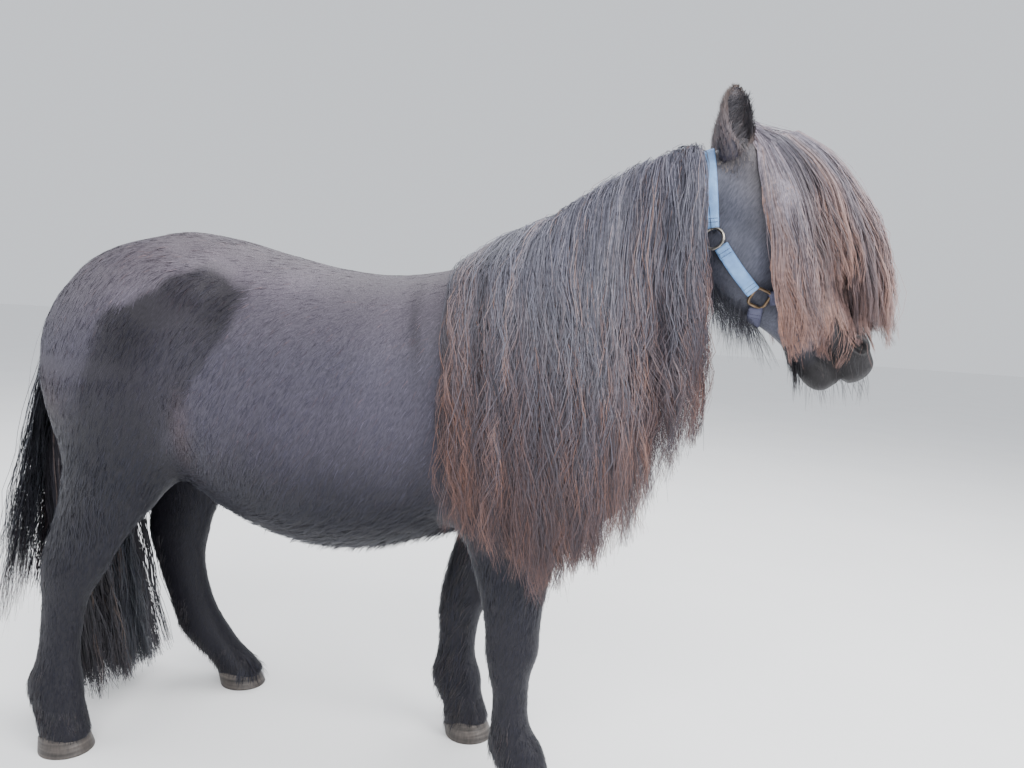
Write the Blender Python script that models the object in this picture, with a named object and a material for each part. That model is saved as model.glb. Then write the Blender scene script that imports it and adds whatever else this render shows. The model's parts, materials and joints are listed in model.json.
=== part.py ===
"""A life-size Shetland pony standing still, in metres, +X towards its nose, +Y to its left, +Z up."""

import math

import bmesh
import bpy
import numpy as np
from mathutils import Matrix, Vector
from mathutils.bvhtree import BVHTree
from mathutils.kdtree import KDTree

# Driving dimensions, in metres
WITHERS_HEIGHT = 0.985
CROUP_HEIGHT = 0.990
EYE = (0.128, 0.000, 0.064)      # centre of an eye: along the head, up, to the side
LID_OPENING = (EYE[0], EYE[1] - 0.002, 0.086)
EYE_RADIUS = 0.019
HEAD_SEAM = 0.632     # where the neck ends and the head begins
GAP = 0.0003          # kept between pieces that touch
FAR_AWAY = 10.0       # field value well outside a form's reach
REACH = 0.06          # how far outside its own box a form still blends

# The planes that the body's own forms are measured in: origin (x, z), axis and "up" direction (x, z)
TRUNK_FRAME = ((0.0, 0.0), (1.0, 0.0), (0.0, 1.0))
LEG_FRAME = ((0.0, 0.0), (0.0, 1.0), (1.0, 0.0))
NECK_FRAME = ((0.400, 0.785), (0.667, 0.745), (-0.745, 0.667))
HEAD_FRAME = ((0.700, 1.172), (0.511, -0.860), (0.860, 0.511))

# Stations of a swept form: place on the axis, upper edge, lower edge, half width, side offset,
# level of the widest point from lower edge (0) to upper edge (1), squareness (2 is an ellipse)
TRUNK = (
    (-0.485, 0.860, 0.650, 0.120, 0, 0.55, 2.0),   # buttock
    (-0.440, 0.925, 0.600, 0.165, 0, 0.55, 2.1),   # tail head
    (-0.370, 0.970, 0.560, 0.198, 0, 0.52, 2.2),
    (-0.300, CROUP_HEIGHT, 0.540, 0.212, 0, 0.50, 2.2),   # croup
    (-0.210, 0.984, 0.492, 0.220, 0, 0.48, 2.2),   # point of hip
    (-0.100, 0.960, 0.447, 0.238, 0, 0.44, 2.2),
    (0.020, 0.938, 0.424, 0.250, 0, 0.42, 2.2),    # lowest of the belly
    (0.120, 0.932, 0.430, 0.242, 0, 0.43, 2.2),
    (0.220, 0.946, 0.458, 0.218, 0, 0.45, 2.2),    # girth
    (0.310, 0.975, 0.485, 0.192, 0, 0.45, 2.1),
    (0.360, WITHERS_HEIGHT, 0.500, 0.178, 0, 0.45, 2.1),  # withers
    (0.430, 0.965, 0.540, 0.165, 0, 0.45, 2.1),
    (0.500, 0.890, 0.590, 0.140, 0, 0.45, 2.0),    # point of shoulder
)
NECK = (
    (-0.060, 0.150, -0.170, 0.150, 0, 0.45, 2.0),
    (0.050, 0.172, -0.158, 0.145, 0, 0.45, 2.0),
    (0.120, 0.174, -0.135, 0.118, 0, 0.42, 1.9),
    (0.200, 0.156, -0.106, 0.094, 0, 0.42, 1.9),
    (0.280, 0.136, -0.080, 0.080, 0, 0.42, 1.9),
    (0.360, 0.112, -0.066, 0.072, 0, 0.45, 1.9),
    (0.430, 0.078, -0.066, 0.066, 0, 0.50, 2.0),   # throat latch
    (0.475, 0.040, -0.056, 0.056, 0, 0.50, 2.0),   # poll
)
SKULL = (
    (0.005, 0.018, -0.060, 0.050, 0, 0.60, 2.0),   # poll
    (0.050, 0.046, -0.085, 0.066, 0, 0.62, 2.1),
    (0.090, 0.059, -0.100, 0.076, 0, 0.64, 2.2),   # forehead
    (0.130, 0.060, -0.098, 0.077, 0, 0.64, 2.3),   # eyes
    (0.180, 0.053, -0.088, 0.064, 0, 0.60, 2.3),
    (0.235, 0.046, -0.074, 0.053, 0, 0.55, 2.3),
    (0.290, 0.042, -0.064, 0.045, 0, 0.50, 2.2),   # nose
    (0.340, 0.043, -0.052, 0.043, 0, 0.50, 2.1),
    (0.380, 0.047, -0.036, 0.045, 0, 0.50, 2.1),   # nostrils
    (0.412, 0.038, -0.020, 0.038, 0, 0.50, 2.1),   # upper lip
)
JAW = (
    (0.100, -0.030, -0.108, 0.046, 0, 0.5, 2.2),
    (0.150, -0.030, -0.140, 0.054, 0, 0.5, 2.3),   # cheek
    (0.205, -0.030, -0.138, 0.052, 0, 0.5, 2.3),
    (0.255, -0.030, -0.112, 0.042, 0, 0.5, 2.2),
    (0.310, -0.030, -0.084, 0.034, 0, 0.5, 2.1),
    (0.355, -0.028, -0.072, 0.032, 0, 0.5, 2.1),
    (0.392, -0.024, -0.070, 0.032, 0, 0.5, 2.1),   # chin
    (0.410, -0.022, -0.058, 0.028, 0, 0.5, 2.1),   # lower lip
)
FORE_RIGHT = (
    (0.040, 0.488, 0.400, 0.041, -0.100, 0.5, 2.0),
    (0.062, 0.482, 0.396, 0.040, -0.100, 0.5, 2.0),   # coronet
    (0.088, 0.476, 0.384, 0.037, -0.101, 0.5, 2.0),   # pastern
    (0.122, 0.466, 0.366, 0.040, -0.103, 0.5, 2.0),   # fetlock
    (0.165, 0.440, 0.367, 0.033, -0.105, 0.5, 2.1),
    (0.220, 0.432, 0.366, 0.032, -0.107, 0.5, 2.1),   # cannon
    (0.260, 0.434, 0.358, 0.037, -0.109, 0.5, 2.2),
    (0.300, 0.444, 0.350, 0.043, -0.110, 0.5, 2.3),   # knee
    (0.340, 0.445, 0.346, 0.042, -0.111, 0.5, 2.2),
    (0.390, 0.448, 0.336, 0.046, -0.113, 0.5, 2.0),   # forearm
    (0.450, 0.460, 0.318, 0.056, -0.115, 0.5, 2.0),
    (0.510, 0.478, 0.300, 0.062, -0.116, 0.5, 2.0),   # elbow
    (0.580, 0.495, 0.300, 0.060, -0.112, 0.5, 2.0),
)
FORE_LEFT = (
    (0.040, 0.318, 0.222, 0.041, 0.130, 0.5, 2.0),
    (0.062, 0.310, 0.220, 0.039, 0.130, 0.5, 2.0),
    (0.088, 0.302, 0.206, 0.037, 0.130, 0.5, 2.0),
    (0.122, 0.298, 0.192, 0.040, 0.130, 0.5, 2.0),
    (0.165, 0.284, 0.200, 0.034, 0.129, 0.5, 2.1),
    (0.220, 0.284, 0.202, 0.033, 0.127, 0.5, 2.1),
    (0.260, 0.292, 0.200, 0.038, 0.125, 0.5, 2.2),
    (0.300, 0.308, 0.204, 0.043, 0.122, 0.5, 2.3),
    (0.340, 0.322, 0.210, 0.043, 0.120, 0.5, 2.2),
    (0.390, 0.346, 0.222, 0.047, 0.118, 0.5, 2.0),
    (0.450, 0.384, 0.238, 0.057, 0.117, 0.5, 2.0),
    (0.510, 0.428, 0.258, 0.062, 0.116, 0.5, 2.0),
    (0.580, 0.470, 0.278, 0.060, 0.112, 0.5, 2.0),
)
HIND_RIGHT = (
    (0.035, -0.394, -0.492, 0.041, -0.150, 0.5, 2.0),
    (0.058, -0.400, -0.498, 0.040, -0.150, 0.5, 2.0),
    (0.085, -0.405, -0.510, 0.037, -0.150, 0.5, 2.0),
    (0.120, -0.412, -0.518, 0.041, -0.149, 0.5, 2.0),
    (0.170, -0.420, -0.503, 0.034, -0.148, 0.5, 2.1),
    (0.230, -0.418, -0.494, 0.034, -0.147, 0.5, 2.1),
    (0.290, -0.405, -0.492, 0.038, -0.146, 0.5, 2.1),
    (0.340, -0.375, -0.495, 0.043, -0.145, 0.5, 2.2),   # hock
    (0.390, -0.345, -0.492, 0.040, -0.144, 0.5, 2.0),
    (0.430, -0.318, -0.478, 0.046, -0.142, 0.5, 2.0),
    (0.490, -0.270, -0.462, 0.060, -0.138, 0.5, 2.0),   # gaskin
    (0.550, -0.225, -0.458, 0.078, -0.132, 0.5, 2.0),
    (0.620, -0.190, -0.470, 0.090, -0.124, 0.5, 2.0),   # stifle
    (0.700, -0.195, -0.488, 0.095, -0.118, 0.5, 2.0),
)
HIND_LEFT = (
    (0.035, -0.222, -0.332, 0.041, 0.176, 0.5, 2.0),
    (0.056, -0.244, -0.354, 0.039, 0.176, 0.5, 2.0),
    (0.080, -0.272, -0.388, 0.037, 0.175, 0.5, 2.0),
    (0.115, -0.304, -0.422, 0.041, 0.173, 0.5, 2.0),
    (0.165, -0.334, -0.442, 0.034, 0.168, 0.5, 2.1),
    (0.225, -0.354, -0.464, 0.034, 0.162, 0.5, 2.1),
    (0.290, -0.361, -0.482, 0.038, 0.156, 0.5, 2.1),
    (0.340, -0.351, -0.491, 0.043, 0.150, 0.5, 2.2),
    (0.390, -0.335, -0.489, 0.040, 0.146, 0.5, 2.0),
    (0.430, -0.315, -0.476, 0.046, 0.142, 0.5, 2.0),
    (0.490, -0.275, -0.460, 0.060, 0.137, 0.5, 2.0),
    (0.550, -0.230, -0.456, 0.078, 0.131, 0.5, 2.0),
    (0.620, -0.190, -0.470, 0.090, 0.124, 0.5, 2.0),
    (0.700, -0.195, -0.488, 0.095, 0.118, 0.5, 2.0),
)
DOCK = (
    (0.430, -0.588, -0.612, 0.030, 0.030, 0.5, 2.0),
    (0.520, -0.578, -0.604, 0.026, 0.018, 0.5, 2.0),
    (0.610, -0.562, -0.590, 0.020, 0.006, 0.5, 2.0),
    (0.660, -0.554, -0.586, 0.020, 0, 0.5, 2.0),
    (0.730, -0.540, -0.580, 0.022, 0, 0.5, 2.0),
    (0.800, -0.520, -0.571, 0.025, 0, 0.5, 2.0),
    (0.855, -0.484, -0.549, 0.029, 0, 0.5, 2.0),
    (0.890, -0.450, -0.506, 0.030, 0, 0.5, 2.0),
)


LEGS = {
    "foreleg_right": FORE_RIGHT,
    "foreleg_left": FORE_LEFT,
    "hindleg_right": HIND_RIGHT,
    "hindleg_left": HIND_LEFT,
}
# hooves: place of the sole's middle, length, width and how far the wall leans back
HOOVES = {
    "foreleg_right": (0.447, -0.098, 0.102, 0.096, 0.014),
    "foreleg_left": (0.276, 0.130, 0.102, 0.096, 0.014),
    "hindleg_right": (-0.440, -0.150, 0.102, 0.092, 0.012),
    "hindleg_left": (-0.268, 0.176, 0.102, 0.092, 0.018),
}
HOOF_RINGS = ((0.0, 0.985), (0.06, 1.0), (0.5, 1.0), (1.0, 1.0))
HOOF_POINTS = 16
EAR_ROOT = (0.020, -0.020, 0.052)   # along the head, up, to the side
EAR_TIP = (-0.078, 0.030, 0.062)
EAR_BOW = 0.004
# share of the way up, half width, depth, wall, half the turn of the wall in degrees
EAR_RINGS = (
    (0.00, 0.024, 0.018, 0.0060, 172),
    (0.16, 0.029, 0.022, 0.0055, 150),
    (0.34, 0.032, 0.024, 0.0050, 122),
    (0.52, 0.031, 0.022, 0.0045, 108),
    (0.70, 0.027, 0.018, 0.0040, 100),
    (0.86, 0.020, 0.012, 0.0034, 96),
    (1.00, 0.007, 0.004, 0.0020, 92),
)
EAR_POINTS = 7
STRAP_WIDTH = 0.024
STRAP_SUNK = -0.0010
STRAP_THICK = 0.0038
STRAP_FOLD = 0.016
STRAP_FOLDED = 0.0115
RING_HEIGHT = 0.0066
ROOT_SUNK = 0.012
CLEAR_WITHIN = 0.022   # length past its root in which a lock comes clear of the body
SEED = 20
BODY_TRIANGLES = 3000
HEAD_TRIANGLES = 1560
NECK_SEAM = ((0.295, 0, 0.955), (-0.714, 0, -0.700))
HIGH_RING = (0.121, -0.106, 0.075)
LOW_RING = (0.245, -0.082, 0.060)
CHEEK_STRAP = (
    (0.137, -0.101, 0.075),
    (0.164, -0.106, 0.078),
    (0.205, -0.096, 0.075),
    (0.232, -0.086, 0.065),
)
CROWN_STRAP = (
    (0.106, -0.101, -0.078),
    (0.064, -0.088, -0.080),
    (0.025, -0.075, -0.078),
    (-0.013, -0.062, -0.070),
    (-0.035, -0.040, -0.045),
    (-0.045, -0.020, 0.0),
)
THROAT_STRAP = (
    (0.127, -0.121, -0.075),
    (0.147, -0.144, -0.062),
    (0.172, -0.160, -0.035),
    (0.180, -0.170, 0.0),
)
NOSE_STRAP = (
    (0.252, -0.068, -0.056),
    (0.258, -0.040, -0.056),
    (0.263, 0.005, -0.054),
    (0.272, 0.040, -0.035),
    (0.276, 0.052, 0.0),
)
CHIN_STRAP = (
    (0.255, -0.094, -0.052),
    (0.277, -0.105, -0.040),
    (0.290, -0.115, -0.020),
    (0.294, -0.118, 0.0),
)
STRAP_ENDS = {
    "crown": ("ring_left", "ring_right"),
    "throat": ("ring_left", "ring_right"),
    "cheek": ("ring_left", "ring_right", "link_left", "link_right"),
    "nose": ("link_left", "link_right"),
    "chin": ("link_left", "link_right"),
}
# hair: the place along the body and the height at which the mane ends
MANE_ENDS = (
    (0.27, 0.54),
    (0.33, 0.512),
    (0.41, 0.48),
    (0.45, 0.44),
    (0.48, 0.47),
    (0.54, 0.51),
    (0.59, 0.55),
    (0.62, 0.62),
    (0.648, 0.70),
)
MANE_ENDS_LEFT = ((0.27, 0.80), (0.36, 0.76), (0.47, 0.72), (0.56, 0.72), (0.645, 0.80))
MANE_SPAN = (0.318, 0.618)
MANE_DRIFT = ((0.32, 0.12), (0.42, 0.03), (0.52, 0.01), (0.62, 0.05))
MANE_CLEAR = (0.014, 0.032)
MANE_RIGHT = 18
MANE_LEFT = 8
MANE_LOOK = (0.058, 0.012, 5, 0.005, 0.72)
FORELOCK_START = 0.010
FORELOCK_COUNT = 12
FORELOCK_LOOK = (0.040, 0.010, 5, 0.004, 0.75)
FORELOCK_ENDS = ((0, 0.395), (36, 0.385), (45, 0.235), (63, 0.225), (71, 0.345), (90, 0.355))
# along the head, upper and lower edge of the forelock, its half width
FORELOCK = np.array(
    (
        (0.000, 0.062, 0.030, 0.032),
        (0.025, 0.098, 0.022, 0.062),
        (0.077, 0.126, 0.003, 0.083),
        (0.131, 0.140, -0.017, 0.091),
        (0.178, 0.144, -0.036, 0.093),
        (0.246, 0.142, -0.064, 0.090),
        (0.311, 0.124, -0.090, 0.084),
        (0.389, 0.092, -0.110, 0.074),
    )
)
BEARD_SPANS = ((0.178, 0.240, 5), (0.335, 0.350, 2))
BEARD_LOOK = (0.022, 0.007, 3, 0.0, 0.60)
TAIL_COUNT = 13
TAIL_ENDS_LEFT = (0.040, 0.070)
TAIL_ENDS_RIGHT = (0.170, 0.280)
TAIL_CLEAR = (0.014, 0.034)
HAIRY = ("neck", "head", "tail", "foreleg_left", "foreleg_right", "hindleg_left", "hindleg_right")
TAIL_LOOK = (0.062, 0.018, 6, 0.010, 0.84)
FEATHER_COUNT = 4
FEATHER_LOOK = (0.030, 0.008, 3, 0.0, 0.60)


def swept(stations, frame, cap=0.04, blend=0.03):
    """One form swept along a straight axis through its stations, with round ends of length cap."""
    return {"kind": "swept", "rows": np.array(stations, float), "frame": frame, "cap": cap, "blend": blend}


def lump(centre, radii, tilt=0.0, blend=0.03, frame=None):
    """An ellipsoid. In a frame, its centre and radii are along the axis, up and to the side."""
    x, up, side = centre
    turn = math.radians(tilt)
    axis = (math.cos(turn), math.sin(turn))
    if frame is None:
        middle = (x, up)
    else:
        (ox, oz), (ax, az), (ux, uz) = frame
        middle = (ox + x * ax + up * ux, oz + x * az + up * uz)
        axis = (axis[0] * ax + axis[1] * ux, axis[0] * az + axis[1] * uz)
    return {"kind": "lump", "middle": middle, "side": side, "axis": axis, "radii": radii, "blend": blend}


def both_sides(centre, radii, **more):
    """The same lump on the left and on the right; the centre is (along, up, to the side)."""
    along, up, side = centre
    return [lump((along, up, side), radii, **more), lump((along, up, -side), radii, **more)]


def smooth_columns(rows, places):
    """A smooth curve through the rows' columns, read at places on their first one."""
    at = rows[:, 0]
    values = rows[:, 1:]
    slopes = np.gradient(values, at, axis=0)
    index = np.clip(np.searchsorted(at, places) - 1, 0, len(at) - 2)
    span = at[index + 1] - at[index]
    t = ((places - at[index]) / span)[:, None]
    span = span[:, None]
    a, b = values[index], values[index + 1]
    sa, sb = slopes[index] * span, slopes[index + 1] * span
    return (
        a * (1 + 2 * t) * (1 - t) ** 2
        + sa * t * (1 - t) ** 2
        + b * t * t * (3 - 2 * t)
        + sb * t * t * (t - 1)
    ).T


def rounded(parts, radii, power):
    """Distance, near enough, to where the sum of |part / radius| ** power is one."""
    ratio = [np.abs(p / r) + 1e-9 for p, r in zip(parts, radii)]
    size = sum(q**power for q in ratio) ** (1 / power)
    steep = sum((q ** (power - 1) / r) ** 2 for q, r in zip(ratio, radii)) ** 0.5 * size ** (1 - power)
    return (size - 1) / steep


def form_distance(form, p):
    """Signed distance of each place p from one form, near its surface."""
    if form["kind"] == "lump":
        (mx, mz), (ax, az) = form["middle"], form["axis"]
        dx, dz = p[:, 0] - mx, p[:, 2] - mz
        parts = (dx * ax + dz * az, dz * ax - dx * az, p[:, 1] - form["side"])
        return rounded(parts, form["radii"], 2.0)
    (ox, oz), (ax, az), (ux, uz) = form["frame"]
    dx, dz = p[:, 0] - ox, p[:, 2] - oz
    along, up = dx * ax + dz * az, dx * ux + dz * uz
    rows = form["rows"]
    inside = np.clip(along, rows[0, 0], rows[-1, 0])
    top, bottom, half, side, level, power = smooth_columns(rows, inside)
    middle = bottom + level * (top - bottom)
    reach = np.where(up > middle, top - middle, middle - bottom)
    parts = (up - middle, p[:, 1] - side, along - inside)
    return rounded(parts, (reach, half, form["cap"]), power)


def form_box(form):
    """The form's lowest and highest corner, with room for its blend."""
    room = form["blend"] + REACH
    if form["kind"] == "lump":
        (mx, mz), (ax, az) = form["middle"], form["axis"]
        ra, ru, rs = form["radii"]
        rx = math.hypot(ra * ax, ru * az) + room
        rz = math.hypot(ra * az, ru * ax) + room
        rs += room
        middle, reach = np.array((mx, form["side"], mz)), np.array((rx, rs, rz))
        return middle - reach, middle + reach
    (ox, oz), (ax, az), (ux, uz) = form["frame"]
    corners = []
    for along, top, bottom, half, side, *_ in form["rows"]:
        for up in (top, bottom):
            x, z = ox + along * ax + up * ux, oz + along * az + up * uz
            corners += [(x, side - half, z), (x, side + half, z)]
    corners = np.array(corners)
    room += form["cap"]
    return corners.min(0) - room, corners.max(0) + room


def smooth_least(a, b, k):
    """The smaller of a and b, rounded where they are within k of each other."""
    h = np.clip(0.5 + 0.5 * (b - a) / k, 0, 1)
    return b * (1 - h) + a * h - k * h * (1 - h)


def body_distance(p, forms, hollows=()):
    """Signed distance, near enough, from points p to the blended forms, less the hollows."""
    p = np.asarray(p, float)
    found = np.full(len(p), FAR_AWAY)
    for form in forms:
        low, high = form["box"]
        near = np.flatnonzero(np.all((p > low) & (p < high), axis=1))
        if len(near):
            found[near] = smooth_least(found[near], form_distance(form, p[near]), form["blend"])
    for form in hollows:
        low, high = form["box"]
        near = np.flatnonzero(np.all((p > low) & (p < high), axis=1))
        if len(near):
            found[near] = -smooth_least(-found[near], form_distance(form, p[near]), form["blend"])
    return found


def with_boxes(forms):
    """The forms, each with the box it lies in."""
    for form in forms:
        form["box"] = form_box(form)
    return forms


def body_forms():
    """The trunk, neck and legs with their muscles."""
    return with_boxes(
        [
            swept(TRUNK, TRUNK_FRAME, cap=0.035),
            swept(NECK, NECK_FRAME, cap=0.03, blend=0.05),
            *both_sides((-0.345, 0.745, 0.118), (0.165, 0.20, 0.098), tilt=-12, blend=0.05),   # haunch
            *both_sides((-0.440, 0.715, 0.090), (0.070, 0.17, 0.075), tilt=8, blend=0.04),    # buttock
            *both_sides((-0.205, 0.880, 0.158), (0.052, 0.032, 0.036), blend=0.05),          # point of hip
            *both_sides((0.405, 0.700, 0.105), (0.105, 0.22, 0.082), tilt=22, blend=0.05),    # shoulder
            # point of shoulder
            *both_sides((0.505, 0.680, 0.075), (0.062, 0.085, 0.068), blend=0.04),
            *both_sides((0.340, 0.600, 0.135), (0.085, 0.100, 0.055), tilt=20, blend=0.05),   # upper arm
            lump((0.500, 0.600, 0.0), (0.075, 0.090, 0.085), blend=0.05),                     # breast
            swept(FORE_RIGHT, LEG_FRAME, blend=0.04),
            swept(FORE_LEFT, LEG_FRAME, blend=0.04),
            swept(HIND_RIGHT, LEG_FRAME, blend=0.04),
            swept(HIND_LEFT, LEG_FRAME, blend=0.04),
        ]
    )


def head_forms():
    """The skull, jaw, muzzle and cheeks, in the head's own frame: along to the muzzle, up to the face."""
    frame = HEAD_FRAME
    return with_boxes(
        [
            swept(SKULL, frame, cap=0.018, blend=0.02),
            swept(JAW, frame, cap=0.014, blend=0.02),
            # cheek
            *both_sides((0.162, -0.080, 0.040), (0.066, 0.056, 0.030), frame=frame, tilt=-8, blend=0.02),
            *both_sides((0.118, 0.016, 0.064), (0.036, 0.026, 0.020), frame=frame, blend=0.018),      # brow
            # crest
            *both_sides((0.205, -0.018, 0.050), (0.060, 0.010, 0.010), frame=frame, tilt=-4, blend=0.02),
            # nostril wing
            *both_sides((0.378, 0.018, 0.032), (0.026, 0.024, 0.018), frame=frame, blend=0.012),
            # ear root
            *both_sides((0.030, 0.000, 0.045), (0.034, 0.030, 0.024), frame=frame, blend=0.02),
            *both_sides(EYE, (0.027, 0.022, 0.0225), frame=frame, blend=0.010),                       # lids
            # upper lip
            lump((0.408, 0.006, 0.0), (0.028, 0.032, 0.036), frame=frame, blend=0.015),
            lump((0.396, -0.046, 0.0), (0.030, 0.026, 0.030), frame=frame, blend=0.012),              # chin
        ]
    )


def head_hollows():
    """What is let into the head: the lids' openings, the nostrils and the line of the mouth."""
    frame = HEAD_FRAME
    return with_boxes(
        [
            *both_sides(LID_OPENING, (0.0165, 0.0095, 0.012), frame=frame, tilt=8, blend=0.002),
            *both_sides((0.380, 0.024, 0.050), (0.017, 0.009, 0.014), frame=frame, tilt=25, blend=0.006),
            *both_sides((0.397, -0.021, 0.046), (0.048, 0.0055, 0.013), frame=frame, tilt=6, blend=0.004),
            lump((0.432, -0.018, 0.0), (0.014, 0.0055, 0.034), frame=frame, tilt=6, blend=0.004),
        ]
    )


def surface_of(distance, low, high, step):
    """Points and quads of the closed surface where distance is zero, on a grid of cubes step wide."""
    counts = np.ceil((np.array(high) - np.array(low)) / step).astype(int) + 1
    axes = [low[i] + step * np.arange(counts[i]) for i in range(3)]
    values = np.full(counts, FAR_AWAY)
    for k in range(1, counts[0] - 1):
        flat = np.stack(np.meshgrid([axes[0][k]], axes[1], axes[2], indexing="ij"), -1).reshape(-1, 3)
        values[k] = distance(flat).reshape(counts[1], counts[2])
    for edge in (0, -1):
        values[:, edge, :] = np.maximum(values[:, edge, :], step)
        values[:, :, edge] = np.maximum(values[:, :, edge], step)
    inside = values < 0
    total = np.zeros((counts.prod(), 3))
    number = np.zeros(counts.prod())
    strides = np.array((counts[1] * counts[2], counts[2], 1))
    quads = []
    for axis in range(3):
        first = tuple(slice(0, -1) if i == axis else slice(None) for i in range(3))
        second = tuple(slice(1, None) if i == axis else slice(None) for i in range(3))
        crossing = np.argwhere(inside[first] != inside[second])
        a = values[first][tuple(crossing.T)]
        b = values[second][tuple(crossing.T)]
        place = crossing.astype(float)
        place[:, axis] += a / (a - b)
        others = [i for i in range(3) if i != axis]
        corners = []
        for du, dv in ((0, 0), (1, 0), (1, 1), (0, 1)):
            cell = crossing.copy()
            cell[:, others[0]] -= du
            cell[:, others[1]] -= dv
            code = cell @ strides
            corners.append(code)
            number += np.bincount(code, minlength=len(number))
            for i in range(3):
                total[:, i] += np.bincount(code, weights=place[:, i], minlength=len(number))
        loops = np.stack(corners, 1)
        outward = (a < 0) != (axis != 1)
        loops[outward] = loops[outward][:, ::-1]
        quads.append(loops)
    quads = np.concatenate(quads)
    used, index = np.unique(quads, return_inverse=True)
    points = total[used] / number[used][:, None] * step + np.array(low)
    return points, index.reshape(-1, 4)


def slope_of(distance, p, h=0.0008):
    """The field's gradient at p."""
    steps = np.eye(3) * h
    return np.stack([distance(p + s) - distance(p - s) for s in steps], 1) / (2 * h)


def settle(distance, points, rounds=2, level=0.0):
    """Moves points onto the surface where distance equals level."""
    for _ in range(rounds):
        slope = slope_of(distance, points)
        square = np.maximum((slope**2).sum(1), 0.05)
        points = points - slope * ((distance(points) - level) / square)[:, None]
    return points


def mesh_object(name, points, faces):
    """An object of its own, in the scene, from points and faces."""
    mesh = bpy.data.meshes.new(name)
    mesh.from_pydata([tuple(map(float, p)) for p in points], [], [tuple(map(int, f)) for f in faces])
    body = bpy.data.objects.new(name, mesh)
    bpy.context.scene.collection.objects.link(body)
    return body


def remove(*bodies):
    """Takes objects out of the file."""
    for body in bodies:
        bpy.data.objects.remove(body)


def apply_modifiers(body):
    """Turns what the modifiers show into the mesh itself."""
    bpy.context.view_layer.update()
    shaped = body.evaluated_get(bpy.context.evaluated_depsgraph_get())
    mesh = bpy.data.meshes.new_from_object(shaped)
    body.modifiers.clear()
    old = body.data
    body.data = mesh
    bpy.data.meshes.remove(old)


def thin_out(body, triangles):
    """Fewer faces, about as many as asked for."""
    count = sum(len(face.vertices) - 2 for face in body.data.polygons)
    fewer = body.modifiers.new("fewer", "DECIMATE")
    fewer.ratio = min(1.0, triangles / count)
    fewer.use_collapse_triangulate = True
    apply_modifiers(body)


def combine(body, others, operation, solver="MANIFOLD"):
    """The body joined with, cut by or kept inside the others, which are removed."""
    group = bpy.data.collections.new("others")
    bpy.context.scene.collection.children.link(group)
    for other in others:
        group.objects.link(other)
    step = body.modifiers.new("combine", "BOOLEAN")
    step.operation = operation
    step.operand_type = "COLLECTION"
    step.collection = group
    step.solver = solver
    apply_modifiers(body)
    remove(*others)
    bpy.data.collections.remove(group)
    return body


def keep_largest(body):
    """Only the closed surface that holds the most."""
    mesh = bmesh.new()
    mesh.from_mesh(body.data)
    mesh.verts.ensure_lookup_table()
    waiting = set(mesh.verts)
    shells = []
    while waiting:
        edge_of_search = [waiting.pop()]
        shell = set(edge_of_search)
        while edge_of_search:
            vertex = edge_of_search.pop()
            for edge in vertex.link_edges:
                other = edge.other_vert(vertex)
                if other in waiting:
                    waiting.remove(other)
                    shell.add(other)
                    edge_of_search.append(other)
        shells.append(shell)
    shells.sort(key=shell_size)
    for shell in shells[:-1]:
        bmesh.ops.delete(mesh, geom=list(shell), context="VERTS")
    mesh.to_mesh(body.data)
    mesh.free()
    return len(shells) - 1


def open_touching(body, by=0.0002):
    """Draws back the points where two sheets of the surface meet without being joined."""
    mesh = bmesh.new()
    mesh.from_mesh(body.data)
    mesh.normal_update()
    places = KDTree(len(mesh.verts))
    mesh.verts.ensure_lookup_table()
    for vertex in mesh.verts:
        places.insert(vertex.co, vertex.index)
    places.balance()
    for vertex in mesh.verts:
        linked = {edge.other_vert(vertex).index for edge in vertex.link_edges} | {vertex.index}
        if any(i not in linked for _, i, _ in places.find_range(vertex.co, 1e-5)):
            vertex.co = vertex.co - vertex.normal * by
    mesh.to_mesh(body.data)
    mesh.free()


def shell_size(shell):
    """The volume of the box round a shell of vertices."""
    points = np.array([vertex.co for vertex in shell])
    return float(np.prod(np.ptp(points, axis=0) + 1e-6))


def grown(body, by):
    """A copy of the body with its surface moved out."""
    copy = bpy.data.objects.new(body.name + "_grown", body.data.copy())
    bpy.context.scene.collection.objects.link(copy)
    normals = [vertex.normal.copy() for vertex in copy.data.vertices]
    for vertex, normal in zip(copy.data.vertices, normals):
        vertex.co = vertex.co + normal * by
    return copy


def cell(planes, grow=0.0):
    """The space behind all the planes, each a point and a direction out, moved out by grow."""
    mesh = bmesh.new()
    bmesh.ops.create_cube(mesh, size=6.0)
    for point, outward in planes:
        outward = Vector(outward).normalized()
        cut = bmesh.ops.bisect_plane(
            mesh,
            geom=mesh.verts[:] + mesh.edges[:] + mesh.faces[:],
            plane_co=Vector(point) + outward * grow,
            plane_no=outward,
            clear_outer=True,
        )
        rim = [item for item in cut["geom_cut"] if isinstance(item, bmesh.types.BMEdge)]
        bmesh.ops.contextual_create(mesh, geom=rim)
    bmesh.ops.recalc_face_normals(mesh, faces=mesh.faces[:])
    data = bpy.data.meshes.new("cell")
    mesh.to_mesh(data)
    mesh.free()
    body = bpy.data.objects.new("cell", data)
    bpy.context.scene.collection.objects.link(body)
    return body


def copy_of(body, name):
    """A copy of a body with a mesh of its own."""
    copy = bpy.data.objects.new(name, body.data.copy())
    bpy.context.scene.collection.objects.link(copy)
    return copy


def head_point(along, up, side):
    """A place given in the head's frame, in the model's."""
    (ox, oz), (ax, az), (ux, uz) = HEAD_FRAME
    return (ox + along * ax + up * ux, side, oz + along * az + up * uz)


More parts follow.
